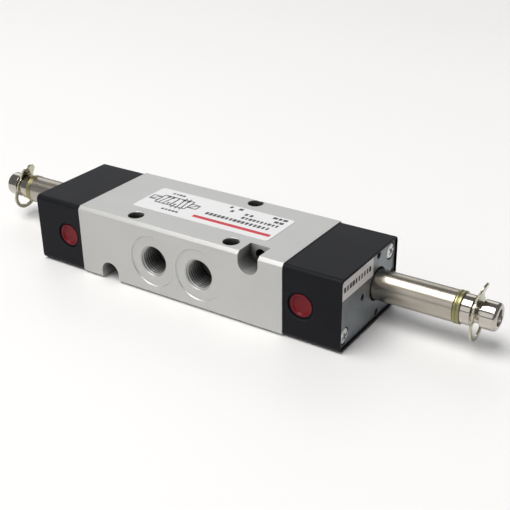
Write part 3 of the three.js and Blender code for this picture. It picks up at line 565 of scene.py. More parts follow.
def add_group(tree, shared, inputs):
    node = tree.nodes.new("ShaderNodeGroup")
    node.node_tree = shared
    for key, value in inputs.items():
        if isinstance(value, bpy.types.NodeSocket):
            tree.links.new(value, node.inputs[key])
        else:
            node.inputs[key].default_value = value
    return node


def stretched(tree, place, scale):
    """The place with each axis scaled, so that a pattern on it runs in one direction."""
    return add(tree, "ShaderNodeMapping", {"Vector": place, "Scale": scale}).outputs["Vector"]


def bumped(tree, shader, height, distance, strength=1.0):
    """Gives the shader a bump of this height, in metres at full height."""
    bump = add(tree, "ShaderNodeBump", {"Height": height, "Distance": distance, "Strength": strength})
    tree.links.new(bump.outputs["Normal"], shader.inputs["Normal"])


aluminium, tree, shader, place = new_material("satin_aluminium", metallic=0.55)
pattern = group(tree, mottle, {"Vector": place, "Cloud Size": 14 * mm, "Grain Size": 0.22 * mm})
lines = add(
    tree, "ShaderNodeTexNoise", {
        "Vector": stretched(tree, place, (60, 5200, 5200)), "Scale": 1.0, "Detail": 2.0
    }
).outputs["Fac"]
wear = group(tree, edge_wear, {"Vector": place, "Width": 0.25 * mm, "Patch Size": 3 * mm})["Wear"]
base = colour_between(tree, pattern["Cloud"], (0.50, 0.50, 0.485), (0.555, 0.555, 0.545))
bright = add(tree, "ShaderNodeMix", {"Factor": wear, "A": base, "B": (0.72, 0.72, 0.70, 1)}, data_type="RGBA")
# The bores, ports and hollow corners get painted shade: their colour is darkened by how far the block itself
# shuts each spot in.
CAVITY_REACH = 15 * mm
BORE_PAINTED_SHADE = (0.035, 0.035, 0.033, 1)
shut_in = {"Distance": CAVITY_REACH}
cavity = add(tree, "ShaderNodeAmbientOcclusion", shut_in, samples=8, only_local=True).outputs["AO"]
openness = add(tree, "ShaderNodeMapRange", {"Value": cavity, "From Min": 0.3, "From Max": 0.62, "To Min": 0.04})
# Painted shade mixed into the base colour, darkest where the block shuts a spot in most.
shaded = add(
    tree,
    "ShaderNodeMix",
    {"Factor": openness.outputs["Result"], "A": BORE_PAINTED_SHADE, "B": bright.outputs["Result"]},
    data_type="RGBA",
)
tree.links.new(shaded.outputs["Result"], shader.inputs["Base Color"])
tree.links.new(value_between(tree, lines, 0.36, 0.50), shader.inputs["Roughness"])
relief = add(tree, "ShaderNodeMath", {0: lines, 1: pattern["Grain"]}, operation="ADD").outputs[0]
bumped(tree, shader, relief, 0.006 * mm)

outline = eased(
    [
        (half_width, BODY_BEVEL),
        (half_width, height - BODY_BEVEL),
        (half_width - BODY_BEVEL, height),
        (BODY_BEVEL - half_width, height),
        (-half_width, height - BODY_BEVEL),
        (-half_width, BODY_BEVEL),
        (BODY_BEVEL - half_width, 0),
        (half_width - BODY_BEVEL, 0),
    ],
    BODY_BEVEL_EASE,
    3,
)
blank = bar(outline, -half_length, half_length, SAWN_EASE, SAWN_EASE, 2)
tools = []
for x, side in [(-0.5, -1), (0.5, -1), (-1, 1), (0, 1), (1, 1)]:
    tools += [port(x * PORT_PITCH, side), tap(x * PORT_PITCH, side, aluminium)]
for x, y in FOOT_HOLES:
    tools += [
        drill(FOOT_HOLE_R, height, -1 * mm, "Z", (x, y, 0)),
        drill(FOOT_HOLE_R, 0, 1 * mm, "Z", (x, y, 0)),
    ]
for side in (-1, 1):
    x = side * BOLT_X
    z = mid + side * (mid - BOLT_FROM_EDGE)
    open_z = mid + side * (mid + 1 * mm)
    slot_outline = [
        Vector((x + BOLT_HEAD_R * math.cos(a), z - side * BOLT_HEAD_R * math.sin(a)))
        for a in [math.pi * k / 24 for k in range(25)]
    ]
    slot_outline += [Vector((x - BOLT_HEAD_R, open_z)), Vector((x + BOLT_HEAD_R, open_z))]
    slot = bar(slot_outline, -half_width - 1 * mm, -half_width + BOLT_HEAD_DEPTH)
    slot.transform(Matrix(((0, 1, 0, 0), (1, 0, 0, 0), (0, 0, 1, 0), (0, 0, 0, 1))))
    slot.flip_normals()
    tools += [slot, drill(BOLT_HOLE_R, half_width, -half_width, "Y", (x, 0, z), 32)]
bore = [(-half_length - 1 * mm, 0), (-half_length - 1 * mm, SPOOL_BORE_R)]
steps = [(k * PORT_PITCH / 2, GALLERY_WIDTH / 2, GALLERY_R) for k in range(-2, 3)]
steps += [((k + 0.5) * PORT_PITCH / 2, SEAL_GROOVE_WIDTH / 2, SEAL_GROOVE_R) for k in range(-3, 3)]
for x, half, radius in sorted(steps):
    bore += [(x - half, SPOOL_BORE_R), (x - half, radius), (x + half, radius), (x + half, SPOOL_BORE_R)]
bore += [(half_length + 1 * mm, SPOOL_BORE_R), (half_length + 1 * mm, 0)]
tools.append(turned(bore, "X", (0, 0, mid)))
for side in (-1, 1):
    for y in (-SCREW_Y, SCREW_Y):
        for z in (-SCREW_Z, SCREW_Z):
            end = side * (half_length - SCREW_HOLE_DEPTH)
            tools.append(drill(SCREW_HOLE_R, side * half_length, end, "X", (0, y, mid + z), 24))
valve_body = piece_of("valve_block", shaped(blank, tools), aluminium)
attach(valve_body, "housing")
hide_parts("valve_body")

# ------------------------------------------------------------------ end caps
# Two alike mouldings in matte black glass-filled nylon, the left one turned half round about Y. Each closes
# the spool's bore with a piston chamber, and holds an override, a nozzle seat and the foot of a tube.
cap_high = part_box("end_cap_right")[1]
CAP_LENGTH = cap_high.x - half_length
CAP_HALF_WIDTH = cap_high.y
CAP_HALF_HEIGHT = cap_high.z - mid
CAP_EDGE_R = 1.5 * mm
CAP_END_EASE = 0.22 * mm
PLATE_SEAT = 15.3 * mm
PLATE_POCKET_HALF_Y = 16.1 * mm
PLATE_POCKET_HALF_Z = 10.35 * mm
PLATE_CORNER_R = 1 * mm
TUBE_Y = 5.9 * mm
OVERRIDE_X = 5.6 * mm
SCREW_CLEARANCE_R = 1.35 * mm
CAP_SCREW_SEAT = 13.7 * mm
SCREW_POCKET_R = 2.6 * mm
END_TURNS = {
    "right": Matrix.Translation((half_length, 0, mid)),
    "left": Matrix.Translation((-half_length, 0, mid)) @ Matrix.Rotation(math.pi, 4, "Y"),
}


def lathe(profile, ease=0.0, axis="X", at=(0, 0, 0), sides=64):
    """A turned solid from (along, radius) pairs in millimetres, with its corners rounded by the ease."""
    points = [Vector(pair) * mm for pair in profile]
    if ease:
        points = eased(points, ease, 3, closed=profile[0][1] > 0)
    return turned([tuple(point) for point in points], axis, at, sides)


def at_end(mesh, side):
    """A copy of a mesh that is drawn outwards from the body's end, set in place at one end."""
    copy = mesh.copy()
    copy.transform(END_TURNS[side])
    return copy


def fit(name, mesh, material, body, nodes, sharp=35):
    """A finished piece that rides on the body and takes the place of these nodes."""
    piece = piece_of(name, mesh, material, sharp)
    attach(piece, body)
    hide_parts(*nodes)
    return piece


def worn_finish(
    name, cloud_size, grain_size, edge_width, patch_size, colours, worn_colour, roughness, relief, **plain
):
    """A finish in soft clouds over a fine grain, rubbed to another colour along the piece's edges."""
    material, tree, shader, place = new_material(name, **plain)
    pattern = group(tree, mottle, {"Vector": place, "Cloud Size": cloud_size, "Grain Size": grain_size})
    wear = group(tree, edge_wear, {"Vector": place, "Width": edge_width, "Patch Size": patch_size})["Wear"]
    base = colour_between(tree, pattern["Cloud"], *colours)
    rubbed = add(tree, "ShaderNodeMix", {"Factor": wear, "A": base, "B": (*worn_colour, 1)}, data_type="RGBA")
    tree.links.new(rubbed.outputs["Result"], shader.inputs["Base Color"])
    tree.links.new(value_between(tree, pattern["Cloud"], *roughness), shader.inputs["Roughness"])
    bumped(tree, shader, pattern["Grain"], relief)
    return material


black_nylon = worn_finish(
    "black_nylon",
    cloud_size=9 * mm,
    grain_size=0.16 * mm,
    edge_width=0.3 * mm,
    patch_size=4 * mm,
    colours=((0.0080, 0.0085, 0.0110), (0.0125, 0.0130, 0.0160)),
    worn_colour=(0.040, 0.043, 0.055),
    roughness=(0.36, 0.48),
    relief=0.012 * mm,
    specular_ior_level=0.08,
)

cap_outline = eased(rectangle(0, 0, CAP_HALF_WIDTH, CAP_HALF_HEIGHT), CAP_EDGE_R, 6)
plate_outline = eased(rectangle(0, 0, PLATE_POCKET_HALF_Y, PLATE_POCKET_HALF_Z), PLATE_CORNER_R, 4)
cap_blank = bar(cap_outline, 0, CAP_LENGTH, 0.1 * mm, CAP_END_EASE, 3)
tube_pocket = [
    (5.5, 0), (5.5, 0.6), (7.2, 0.6), (7.2, 2.25), (9, 2.25), (9, 4.4), (12.25, 4.4), (12.25, 6.15)
]
tube_pocket += [(13.8, 6.15), (13.8, 6.5), (16.3, 6.5), (16.3, 0)]
override_depths = [(-1, 4.1), (1.4, 4.1), (1.4, 4.05), (6.75, 4.05), (6.75, 0.6), (10.5, 0.6)]
cap_front = -CAP_HALF_WIDTH / mm
override_bore = [(cap_front - 1, 0), *[(cap_front + depth, radius) for depth, radius in override_depths]]
override_bore.append((cap_front + 10.5, 0))
tools = [
    bar(plate_outline, PLATE_SEAT, CAP_LENGTH + 1 * mm),
    lathe([(-1, 0), (-1, 6.95), (6.5, 6.95), (6.5, 0)]),
    lathe([(-1, 7.4), (-1, 8.5), (0.9, 8.5), (0.9, 7.4)]),
    lathe(tube_pocket, at=(0, TUBE_Y, 0)),
    lathe(override_bore, axis="Y", at=(OVERRIDE_X, 0, 0)),
    drill(4.1 * mm, -CAP_HALF_WIDTH, -CAP_HALF_WIDTH + 1 * mm, "Y", (OVERRIDE_X, 0, 0), 64, 0.15 * mm),
]
screw_places = [(y, z) for y in (-SCREW_Y, SCREW_Y) for z in (-SCREW_Z, SCREW_Z)]
for y, z in screw_places:
    tools.append(drill(SCREW_CLEARANCE_R, 17 * mm, -1 * mm, "X", (0, y, z), 32, 0))
    if y * z < 0:
        tools.append(drill(SCREW_POCKET_R, 17 * mm, CAP_SCREW_SEAT, "X", (0, y, z), 40, 0))
cap_mesh = shaped(cap_blank, tools)
for side in END_TURNS:
    fit(
        f"{side}_end_cap",
        at_end(cap_mesh, side),
        black_nylon,
        "housing",
        [f"end_cap_{side}"]
    )

# ------------------------------------------------------------------ end plates
# A stamped steel plate lies in each cap's end and holds the tube's flange down. It is zinc plated, a dull
# blue-grey. Its screw heads are sunk in it, and four small holes round the tube take a coil's pin.
PLATE_THICKNESS = 2.1 * mm
PLATE_SCREW_SEAT = 16 * mm
PLATE_FIT = 0.05 * mm
TUBE_HOLE_R = 5 * mm
INDEX_HOLE_R = 1.1 * mm
INDEX_REACH = 9 * mm
PUNCHED_LIP = 0.12 * mm

zinc_plate = worn_finish(
    "zinc_plate",
    cloud_size=5 * mm,
    grain_size=0.14 * mm,
    edge_width=0.2 * mm,
    patch_size=1.5 * mm,
    colours=((0.190, 0.210, 0.225), (0.280, 0.300, 0.315)),
    worn_colour=(0.62, 0.64, 0.65),
    roughness=(0.52, 0.36),
    relief=0.006 * mm,
    metallic=0.8,
)

outline = eased(
    rectangle(0, 0, PLATE_POCKET_HALF_Y - PLATE_FIT, PLATE_POCKET_HALF_Z - PLATE_FIT), PLATE_CORNER_R, 4
)
plate_top = PLATE_SEAT + PLATE_THICKNESS
tools = [drill(TUBE_HOLE_R, plate_top, PLATE_SEAT - 1 * mm, "X", (0, TUBE_Y, 0), 80, PUNCHED_LIP)]
for y, z in screw_places:
    if y * z > 0:
        tools.append(drill(SCREW_CLEARANCE_R, plate_top, PLATE_SEAT - 1 * mm, "X", (0, y, z), 32, 0))
        tools.append(drill(SCREW_POCKET_R, plate_top, PLATE_SCREW_SEAT, "X", (0, y, z), 48, 0.08 * mm))
for y, z in ((1, 0), (0, 1), (-1, 0), (0, -1)):
    at = (0, TUBE_Y + y * INDEX_REACH, z * INDEX_REACH)
    tools.append(drill(INDEX_HOLE_R, plate_top, PLATE_SEAT - 1 * mm, "X", at, 32, PUNCHED_LIP))
plate_mesh = shaped(bar(outline, PLATE_SEAT, plate_top, 0.08 * mm, 0.16 * mm, 3), tools)
for side in END_TURNS:
    fit(
        f"{side}_end_plate",
        at_end(plate_mesh, side),
        zinc_plate,
        "housing",
        [f"end_plate_{side}"]
    )

# ------------------------------------------------------------------ screws
# Eight M2.5 pan-head screws in two lengths, with a cross recess, bright zinc plated. On one diagonal of
# each cap they hold the plate, and on the other, under the plate, the cap. All reach into the body.
SCREW_R = 1.25 * mm
SCREW_PITCH = 0.45 * mm
SCREW_REACH = 6 * mm
SCREW_HEAD_HEIGHT = 1.5 * mm
CROSS_LENGTH = 2.8 * mm
CROSS_WIDTH = 0.7 * mm
CROSS_DEPTH = 0.8 * mm

bright_zinc = worn_finish(
    "bright_zinc",
    cloud_size=1.2 * mm,
    grain_size=0.08 * mm,
    edge_width=0.1 * mm,
    patch_size=0.8 * mm,
    colours=((0.60, 0.62, 0.62), (0.80, 0.81, 0.80)),
    worn_colour=(0.90, 0.90, 0.88),
    roughness=(0.24, 0.38),
    relief=0.003 * mm,
    metallic=0.85,
)

# Two alike screws on one diagonal of a cap, each turned a little further than the one before.
screw_tree, given, close = node_tree(
    "screw_pair",
    {
        "Screw": ("Object", None),
        "Seat": ("Float", 0.0),
        "Half Y": ("Float", 0.0),
        "Half Z": ("Float", 0.0),
        "First Turn": ("Float", 0.0),
        "Turn Step": ("Float", 0.0),
        "Finish": ("Material", None),
    },
)
start = add(screw_tree, "ShaderNodeCombineXYZ", {0: given["Seat"], 1: given["Half Y"], 2: given["Half Z"]})
step = add(
    screw_tree,
    "ShaderNodeCombineXYZ",
    {
        1: calculate(screw_tree, "MULTIPLY", given["Half Y"], -2.0),
        2: calculate(screw_tree, "MULTIPLY", given["Half Z"], -2.0),
    },
)
line = add(
    screw_tree,
    "GeometryNodeMeshLine",
    {"Count": 2, "Start Location": start.outputs[0], "Offset": step.outputs[0]},
    mode="OFFSET",
)
index = add(screw_tree, "GeometryNodeInputIndex").outputs[0]
turn = calculate(screw_tree, "MULTIPLY_ADD", index, given["Turn Step"], given["First Turn"])
spin = add(
    screw_tree,
    "FunctionNodeEulerToRotation",
    {0: add(screw_tree, "ShaderNodeCombineXYZ", {0: turn}).outputs[0]}
)
screw = add(screw_tree, "GeometryNodeObjectInfo", {"Object": given["Screw"]})
placed = add(
    screw_tree,
    "GeometryNodeInstanceOnPoints",
    {"Points": line.outputs[0], "Instance": screw.outputs["Geometry"], "Rotation": spin.outputs[0]},
)
close(placed.outputs[0])


def screw_of(seat):
    """One screw along X with its seat at zero, long enough to reach into the body from this seat."""
    length = seat + SCREW_REACH
    rows = round(length / SCREW_PITCH * 8)
    values = {"Core Radius": SCREW_R * 0.78, "Height": SCREW_R * 0.22, "Pitch": SCREW_PITCH, "Length": length}
    values.update({"Run Out": SCREW_PITCH, "Sides": 32, "Rows": rows, "Finish": bright_zinc})
    shank = made_by(thread_tree, values)
    shank.transform(Matrix.Translation((-length / 2, 0, 0)) @ Matrix.Rotation(math.pi / 2, 4, "Y"))
    head = lathe(
        [(-0.2, 0), (-0.2, 1.0), (0, 1.0), (0, 2.5), (0.95, 2.5), (1.4, 2.05), (1.5, 1.5), (1.5, 0)], 0.2
    )
    cuts = []
    for half_y, half_z in ((CROSS_LENGTH / 2, CROSS_WIDTH / 2), (CROSS_WIDTH / 2, CROSS_LENGTH / 2)):
        slot = eased(rectangle(0, 0, half_y, half_z), 0.12 * mm, 3)
        floor = SCREW_HEAD_HEIGHT - CROSS_DEPTH
        cuts.append(bar(slot, floor, SCREW_HEAD_HEIGHT + 0.5 * mm, 0.2 * mm, 0, 2))
    return shaped(shaped(head, cuts), [shank], "UNION")


for kind, seat, sign, turns_by_side in (
    ("plate", PLATE_SCREW_SEAT, 1, {"right": 0.35, "left": 0.9}),
    ("cap", CAP_SCREW_SEAT, -1, {"right": 0.2, "left": 1.1}),
):
    model = bpy.data.objects.new("screw", screw_of(seat))
    bpy.context.scene.collection.objects.link(model)
    screws = bmesh.new()
    for side, first_turn in turns_by_side.items():
        values = {"Screw": model, "Seat": seat, "Half Y": -SCREW_Y, "Half Z": -sign * SCREW_Z}
        values.update({"First Turn": first_turn, "Turn Step": 0.5, "Finish": bright_zinc})
        screws.from_mesh(at_end(made_by(screw_tree, values), side))
    bpy.data.objects.remove(model)
    screw_mesh = bpy.data.meshes.new(f"{kind}_screws")
    screws.to_mesh(screw_mesh)
    screws.free()
    screw_nodes = [f"{kind}_screw_{side}_{i}" for side in END_TURNS for i in (1, 2)]
    fit(f"{kind}_screws", screw_mesh, bright_zinc, "housing", screw_nodes, 40)

# ------------------------------------------------------------------ manual overrides
# A dished button in dark red nylon stands in each cap's front. A black ring snapped into the bore keeps it
# in, a seal ring in its groove keeps the air in, and a spring on its stem pushes it back out.
button_low, button_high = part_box("override_button_right")
BUTTON_FACE = (button_low.y + CAP_HALF_WIDTH) / mm
STEM_END = (button_high.y + CAP_HALF_WIDTH) / mm
BUTTON_R = 3.4
BUTTON_FLANGE_R = 4.0
BUTTON_FLANGE = (1.45, 3.35)
BUTTON_GROOVE = (1.9, 2.9)
BUTTON_GROOVE_R = 3.1
BUTTON_STEM_R = 1.6
DISH_R = 2.5
DISH_DEPTH = 0.55
RETAINER = (0.6, 1.4)
SEAL_WIRE_R = 0.4
BUTTON_SPRING_R = 2.7
BUTTON_SPRING_TURNS = 2.5
SPRING_WIRE_R = 0.25 * mm
SPRING_END_GAP = 0.1 * mm

red_nylon = worn_finish(
    "red_nylon",
    cloud_size=2.5 * mm,
    grain_size=0.12 * mm,
    edge_width=0.15 * mm,
    patch_size=1.2 * mm,
    colours=((0.130, 0.0045, 0.0090), (0.185, 0.0075, 0.0140)),
    worn_colour=(0.42, 0.07, 0.08),
    roughness=(0.26, 0.38),
    relief=0.004 * mm,
    specular_ior_level=0.18,
)

nitrile, tree, shader, place = new_material("nitrile_rubber")
pattern = group(tree, mottle, {"Vector": place, "Cloud Size": 3 * mm, "Grain Size": 0.09 * mm})
tree.links.new(
    colour_between(
        tree, pattern["Cloud"], (0.008, 0.008, 0.009), (0.016, 0.016, 0.017)
    ), shader.inputs["Base Color"]
)
tree.links.new(value_between(tree, pattern["Grain"], 0.45, 0.70), shader.inputs["Roughness"])
bumped(tree, shader, pattern["Grain"], 0.006 * mm)

spring_wire, tree, shader, place = new_material("spring_wire", metallic=1.0)
pattern = group(tree, mottle, {"Vector": place, "Cloud Size": 1.5 * mm, "Grain Size": 0.06 * mm})
tree.links.new(
    colour_between(
        tree, pattern["Cloud"], (0.40, 0.41, 0.43), (0.58, 0.59, 0.60)
    ), shader.inputs["Base Color"]
)
tree.links.new(value_between(tree, pattern["Grain"], 0.20, 0.36), shader.inputs["Roughness"])
bumped(tree, shader, pattern["Grain"], 0.002 * mm)

# A compression spring: open turns in the middle and a closed turn lying flat at each end.
spring_tree, given, close = node_tree(
    "compression_spring",
    {
        "Radius": ("Float", 0.002),
        "Wire Radius": ("Float", 0.0003),
        "Start": ("Float", 0.0),
        "End": ("Float", 0.01),
        "Turns": ("Float", 6.0),
        "Steps": ("Int", 200),
        "Wire Sides": ("Int", 12),
        "Finish": ("Material", None),
    },
)
path = add(
    spring_tree,
    "GeometryNodeMeshLine",
    {"Count": given["Steps"], "Start Location": (0, 0, 0), "Offset": (1, 0, 0)},
    mode="OFFSET",
)
path = add(spring_tree, "GeometryNodeMeshToCurve", {"Mesh": path.outputs[0]})
share = add(spring_tree, "GeometryNodeSplineParameter").outputs["Factor"]
coil_turns = calculate(spring_tree, "ADD", given["Turns"], 2.0)
at_turn = calculate(spring_tree, "MULTIPLY", share, coil_turns)
angle = calculate(spring_tree, "MULTIPLY", at_turn, 2 * math.pi)
wire = given["Wire Radius"]
closed_pitch = calculate(spring_tree, "MULTIPLY", wire, 2.1)
open_turns = add(
    spring_tree,
    "ShaderNodeMapRange",
    {
        "Value": at_turn,
        "From Min": 1.0,
        "From Max": calculate(spring_tree, "SUBTRACT", coil_turns, 1.0),
        "To Max": 1.0
    },
).outputs["Result"]
span = calculate(
    spring_tree,
    "SUBTRACT",
    calculate(spring_tree, "SUBTRACT", given["End"], given["Start"]),
    calculate(spring_tree, "MULTIPLY", wire, 2.0),
)
open_span = calculate(spring_tree, "SUBTRACT", span, calculate(spring_tree, "MULTIPLY", closed_pitch, 2.0))
first_turn = calculate(spring_tree, "MINIMUM", at_turn, 1.0)
last_turn = calculate(
    spring_tree, "MAXIMUM", calculate(
        spring_tree, "SUBTRACT", at_turn, calculate(spring_tree, "SUBTRACT", coil_turns, 1.0)
    ), 0.0
)
closed_part = calculate(
    spring_tree, "MULTIPLY", calculate(spring_tree, "ADD", first_turn, last_turn), closed_pitch
)
along = calculate(spring_tree, "ADD", closed_part, calculate(spring_tree, "MULTIPLY", open_turns, open_span))
along = calculate(spring_tree, "ADD", along, calculate(spring_tree, "ADD", given["Start"], wire))
spot = add(
    spring_tree,
    "ShaderNodeCombineXYZ",
    {
        0: along,
        1: calculate(spring_tree, "MULTIPLY", given["Radius"], calculate(spring_tree, "COSINE", angle)),
        2: calculate(spring_tree, "MULTIPLY", given["Radius"], calculate(spring_tree, "SINE", angle)),
    },
)
path = add(spring_tree, "GeometryNodeSetPosition", {"Geometry": path.outputs[0], "Position": spot.outputs[0]})
section = add(
    spring_tree, "GeometryNodeCurvePrimitiveCircle", {"Resolution": given["Wire Sides"], "Radius": wire}
)
swept = add(
    spring_tree,
    "GeometryNodeCurveToMesh",
    {"Curve": path.outputs[0], "Profile Curve": section.outputs["Curve"], "Fill Caps": True},
)
close(swept.outputs[0])


def spring_of(radius, start, end, turns):
    """A spring along X between two faces."""
    steps = round((turns + 2) * 28)
    values = {"Radius": radius, "Wire Radius": SPRING_WIRE_R, "Start": start, "End": end, "Turns": turns}
    values.update({"Steps": steps, "Wire Sides": 12, "Finish": spring_wire})
    return made_by(spring_tree, values)


def seal_ring(ring_r, wire_r, middle, axis="X", at=(0, 0, 0)):
    """A round-section seal ring, with its place along the axis and its radii in millimetres."""
    corners = [2 * math.pi * k / 20 for k in range(20)]
    section = [(middle + wire_r * math.cos(a), ring_r + wire_r * math.sin(a)) for a in corners]
    return lathe(section, 0, axis, at)


def in_cap(depth):
    """A depth below the cap's front face, in millimetres, as a place along Y."""
    return depth - CAP_HALF_WIDTH / mm


override_at = (OVERRIDE_X, 0, 0)
button_profile = [
    (BUTTON_FACE + DISH_DEPTH, 0),
    (BUTTON_FACE + DISH_DEPTH, DISH_R),
    (BUTTON_FACE, DISH_R + 0.45),
    (BUTTON_FACE, BUTTON_R),
    (BUTTON_FLANGE[0], BUTTON_R),
    (BUTTON_FLANGE[0], BUTTON_FLANGE_R),
    (BUTTON_GROOVE[0], BUTTON_FLANGE_R),
    (BUTTON_GROOVE[0], BUTTON_GROOVE_R),
    (BUTTON_GROOVE[1], BUTTON_GROOVE_R),
    (BUTTON_GROOVE[1], BUTTON_FLANGE_R),
    (BUTTON_FLANGE[1], BUTTON_FLANGE_R),
    (BUTTON_FLANGE[1], BUTTON_STEM_R),
    (STEM_END, BUTTON_STEM_R),
    (STEM_END, 0),
]
button_mesh = lathe([(in_cap(d), r) for d, r in button_profile], 0.12 * mm, "Y", override_at, 80)
retainer_corners = ((RETAINER[0], 3.45), (RETAINER[0], 4.04), (RETAINER[1], 4.04), (RETAINER[1], 3.45))
retainer_mesh = lathe([(in_cap(d), r) for d, r in retainer_corners], 0.1 * mm, "Y", override_at, 80)
groove_middle = (BUTTON_GROOVE[0] + BUTTON_GROOVE[1]) / 2
button_seal_mesh = seal_ring(3.55, SEAL_WIRE_R, in_cap(groove_middle), "Y", override_at)
button_spring_mesh = spring_of(
    BUTTON_SPRING_R * mm,
    in_cap(BUTTON_FLANGE[1]) * mm + SPRING_END_GAP,
    in_cap(6.75) * mm - SPRING_END_GAP,
    BUTTON_SPRING_TURNS - 1.2,
)
button_spring_mesh.transform(Matrix.Translation(override_at) @ Matrix.Rotation(math.pi / 2, 4, "Z"))
for side in END_TURNS:
    body = f"button_{side}"
    fit(
        f"{side}_override_button",
        at_end(button_mesh, side),
        red_nylon,
        body,
        [f"override_button_{side}"]
    )
    fit(
        f"{side}_override_seal",
        at_end(button_seal_mesh, side),
        nitrile,
        body,
        [f"override_seal_{side}"]
    )
    fit(
        f"{side}_override_retainer",
        at_end(retainer_mesh, side),
        black_nylon,
        "housing",
        [f"override_retainer_{side}"],
    )
    spring = fit(
        f"{side}_override_spring",
        at_end(button_spring_mesh, side),
        spring_wire,
        "housing",
        [f"override_spring_{side}"],
    )
    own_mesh(spring)

# ------------------------------------------------------------------ armature tubes
# A thin stainless tube stands in each cap, its flange held down by the plate on a seal ring. A coil slides
# over it. A brazed, yellow-passivated ring joins its outer end to the fixed core.
TUBE_R = 4.5
TUBE_BORE_R = 4.0
TUBE_FLANGE_R = 6.4
TUBE_FOOT = 13.8
TUBE_FLANGE_TOP = 15.2
TUBE_END = 41.0
JOINT_RING_END = 43.0
tube_at = (0, TUBE_Y, 0)


def turned_metal(name, low, high, smooth, rough, ring_width, depth, worn_colour):
    """A metal turned about an axis along X, with fine tool rings, soft clouds and rubbed edges."""
    material, tree, shader, place = new_material(name, metallic=1.0)
    pattern = group(tree, mottle, {"Vector": place, "Cloud Size": 6 * mm, "Grain Size": 0.1 * mm})
    rings = stretched(tree, place, (1 / ring_width, 40, 40))
    rings = add(tree, "ShaderNodeTexNoise", {"Vector": rings, "Scale": 1.0, "Detail": 3.0}).outputs["Fac"]
    wear = group(tree, edge_wear, {"Vector": place, "Width": 0.15 * mm, "Patch Size": 1.2 * mm})["Wear"]
    base = colour_between(tree, pattern["Cloud"], low, high)
    rubbed = add(tree, "ShaderNodeMix", {"Factor": wear, "A": base, "B": (*worn_colour, 1)}, data_type="RGBA")
    tree.links.new(rubbed.outputs["Result"], shader.inputs["Base Color"])
    tree.links.new(value_between(tree, rings, smooth, rough), shader.inputs["Roughness"])
    relief = add(tree, "ShaderNodeMath", {0: rings, 1: pattern["Grain"]}, operation="ADD").outputs[0]
    bumped(tree, shader, relief, depth)
    return material


tube_steel = turned_metal(
    "tube_stainless",
    (0.36, 0.325, 0.275),
    (0.46, 0.42, 0.365),
    0.23,
    0.29,
    0.2 * mm,
    0.0006 * mm,
    (0.74, 0.71, 0.66)
)
yellow_zinc = turned_metal(
    "yellow_zinc",
    (0.22, 0.205, 0.095),
    (0.34, 0.32, 0.17),
    0.26,
    0.42,
    0.1 * mm,
    0.004 * mm,
    (0.66, 0.62, 0.40)
)

tube_profile = [
    (TUBE_FOOT, TUBE_BORE_R),
    (TUBE_FOOT, TUBE_FLANGE_R),
    (TUBE_FLANGE_TOP, TUBE_FLANGE_R),
    (TUBE_FLANGE_TOP, TUBE_R),
    (TUBE_END, TUBE_R),
    (TUBE_END, TUBE_BORE_R),
]
tube_mesh = lathe(tube_profile, 0.15 * mm, "X", tube_at, 96)
tube_seal_mesh = seal_ring(5.35, 0.7, 13.05, "X", tube_at)
ring_profile = [
    (TUBE_END, TUBE_BORE_R),
    (TUBE_END, 4.5),
    (TUBE_END + 0.25, 4.65),
    (TUBE_END + 0.65, 4.65),
    (TUBE_END + 0.8, 4.5),
    (TUBE_END + 0.95, 4.5),
    (TUBE_END + 1.1, 4.6),
    (JOINT_RING_END - 0.25, 4.65),
    (JOINT_RING_END, 4.45),
    (JOINT_RING_END, TUBE_BORE_R),
]
joint_ring_mesh = lathe(ring_profile, 0.1 * mm, "X", tube_at, 96)
for side in END_TURNS:
    for name, mesh, material, slot, node in (
        ("armature_tube", tube_mesh, tube_steel, "tube_steel", "armature_tube"),
        ("tube_seal", tube_seal_mesh, nitrile, "rubber", "tube_seal"),
        ("joint_ring", joint_ring_mesh, yellow_zinc, "yellow_zinc", "joint_ring"),
    ):
        fit(f"{side}_{name}", at_end(mesh, side), material, "housing", [f"{node}_{side}"])

# ------------------------------------------------------------------ fixed cores and shading rings
# A turned iron core closes each tube's outer end. Outside the tube it has a shoulder, a neck for the clip
# and a polished, nickel-plated knob with a recess in its end. A copper ring lies in its inner face.
core_low, core_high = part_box("fixed_core_right")
CORE_FACE = (core_low.x - half_length) / mm
KNOB_END = (core_high.x - half_length) / mm
SHOULDER_R = 4.2
NECK_START = 45.8
NECK_END = 48.3
NECK_R = 3.0
KNOB_R = 3.95

nickel = turned_metal(
    "nickel_plate",
    (0.46, 0.42, 0.375),
    (0.58, 0.54, 0.49),
    0.07,
    0.15,
    0.2 * mm,
    0.0025 * mm,
    (0.80, 0.78, 0.74)
)
copper = turned_metal(
    "copper", (0.55, 0.25, 0.14), (0.72, 0.36, 0.22), 0.22, 0.36, 0.1 * mm, 0.003 * mm, (0.86, 0.50, 0.34)
)

core_profile = [
    (CORE_FACE, 0),
    (CORE_FACE, 2.65),
    (CORE_FACE + 1.05, 2.65),
    (CORE_FACE + 1.05, 3.35),
    (CORE_FACE, 3.35),
    (CORE_FACE, 3.95),
    (JOINT_RING_END, 3.95),
    (JOINT_RING_END, SHOULDER_R),
    (NECK_START, SHOULDER_R),
    (NECK_START, NECK_R),
    (NECK_END, NECK_R),
    (NECK_END, KNOB_R),
]
for k in range(9):
    a = math.pi / 2 * k / 8
    core_profile.append((KNOB_END - 1 + math.sin(a), KNOB_R - 1 + math.cos(a)))
core_profile += [(KNOB_END, 2.5), (KNOB_END - 0.3, 2.3), (KNOB_END - 1.2, 2.2), (KNOB_END - 1.2, 0)]
core_mesh = lathe(core_profile, 0.12 * mm, "X", tube_at, 96)
shading_corners = [(CORE_FACE, 2.7), (CORE_FACE, 3.3), (CORE_FACE + 1, 3.3), (CORE_FACE + 1, 2.7)]
shading_mesh = lathe(shading_corners, 0.08 * mm, "X", tube_at)
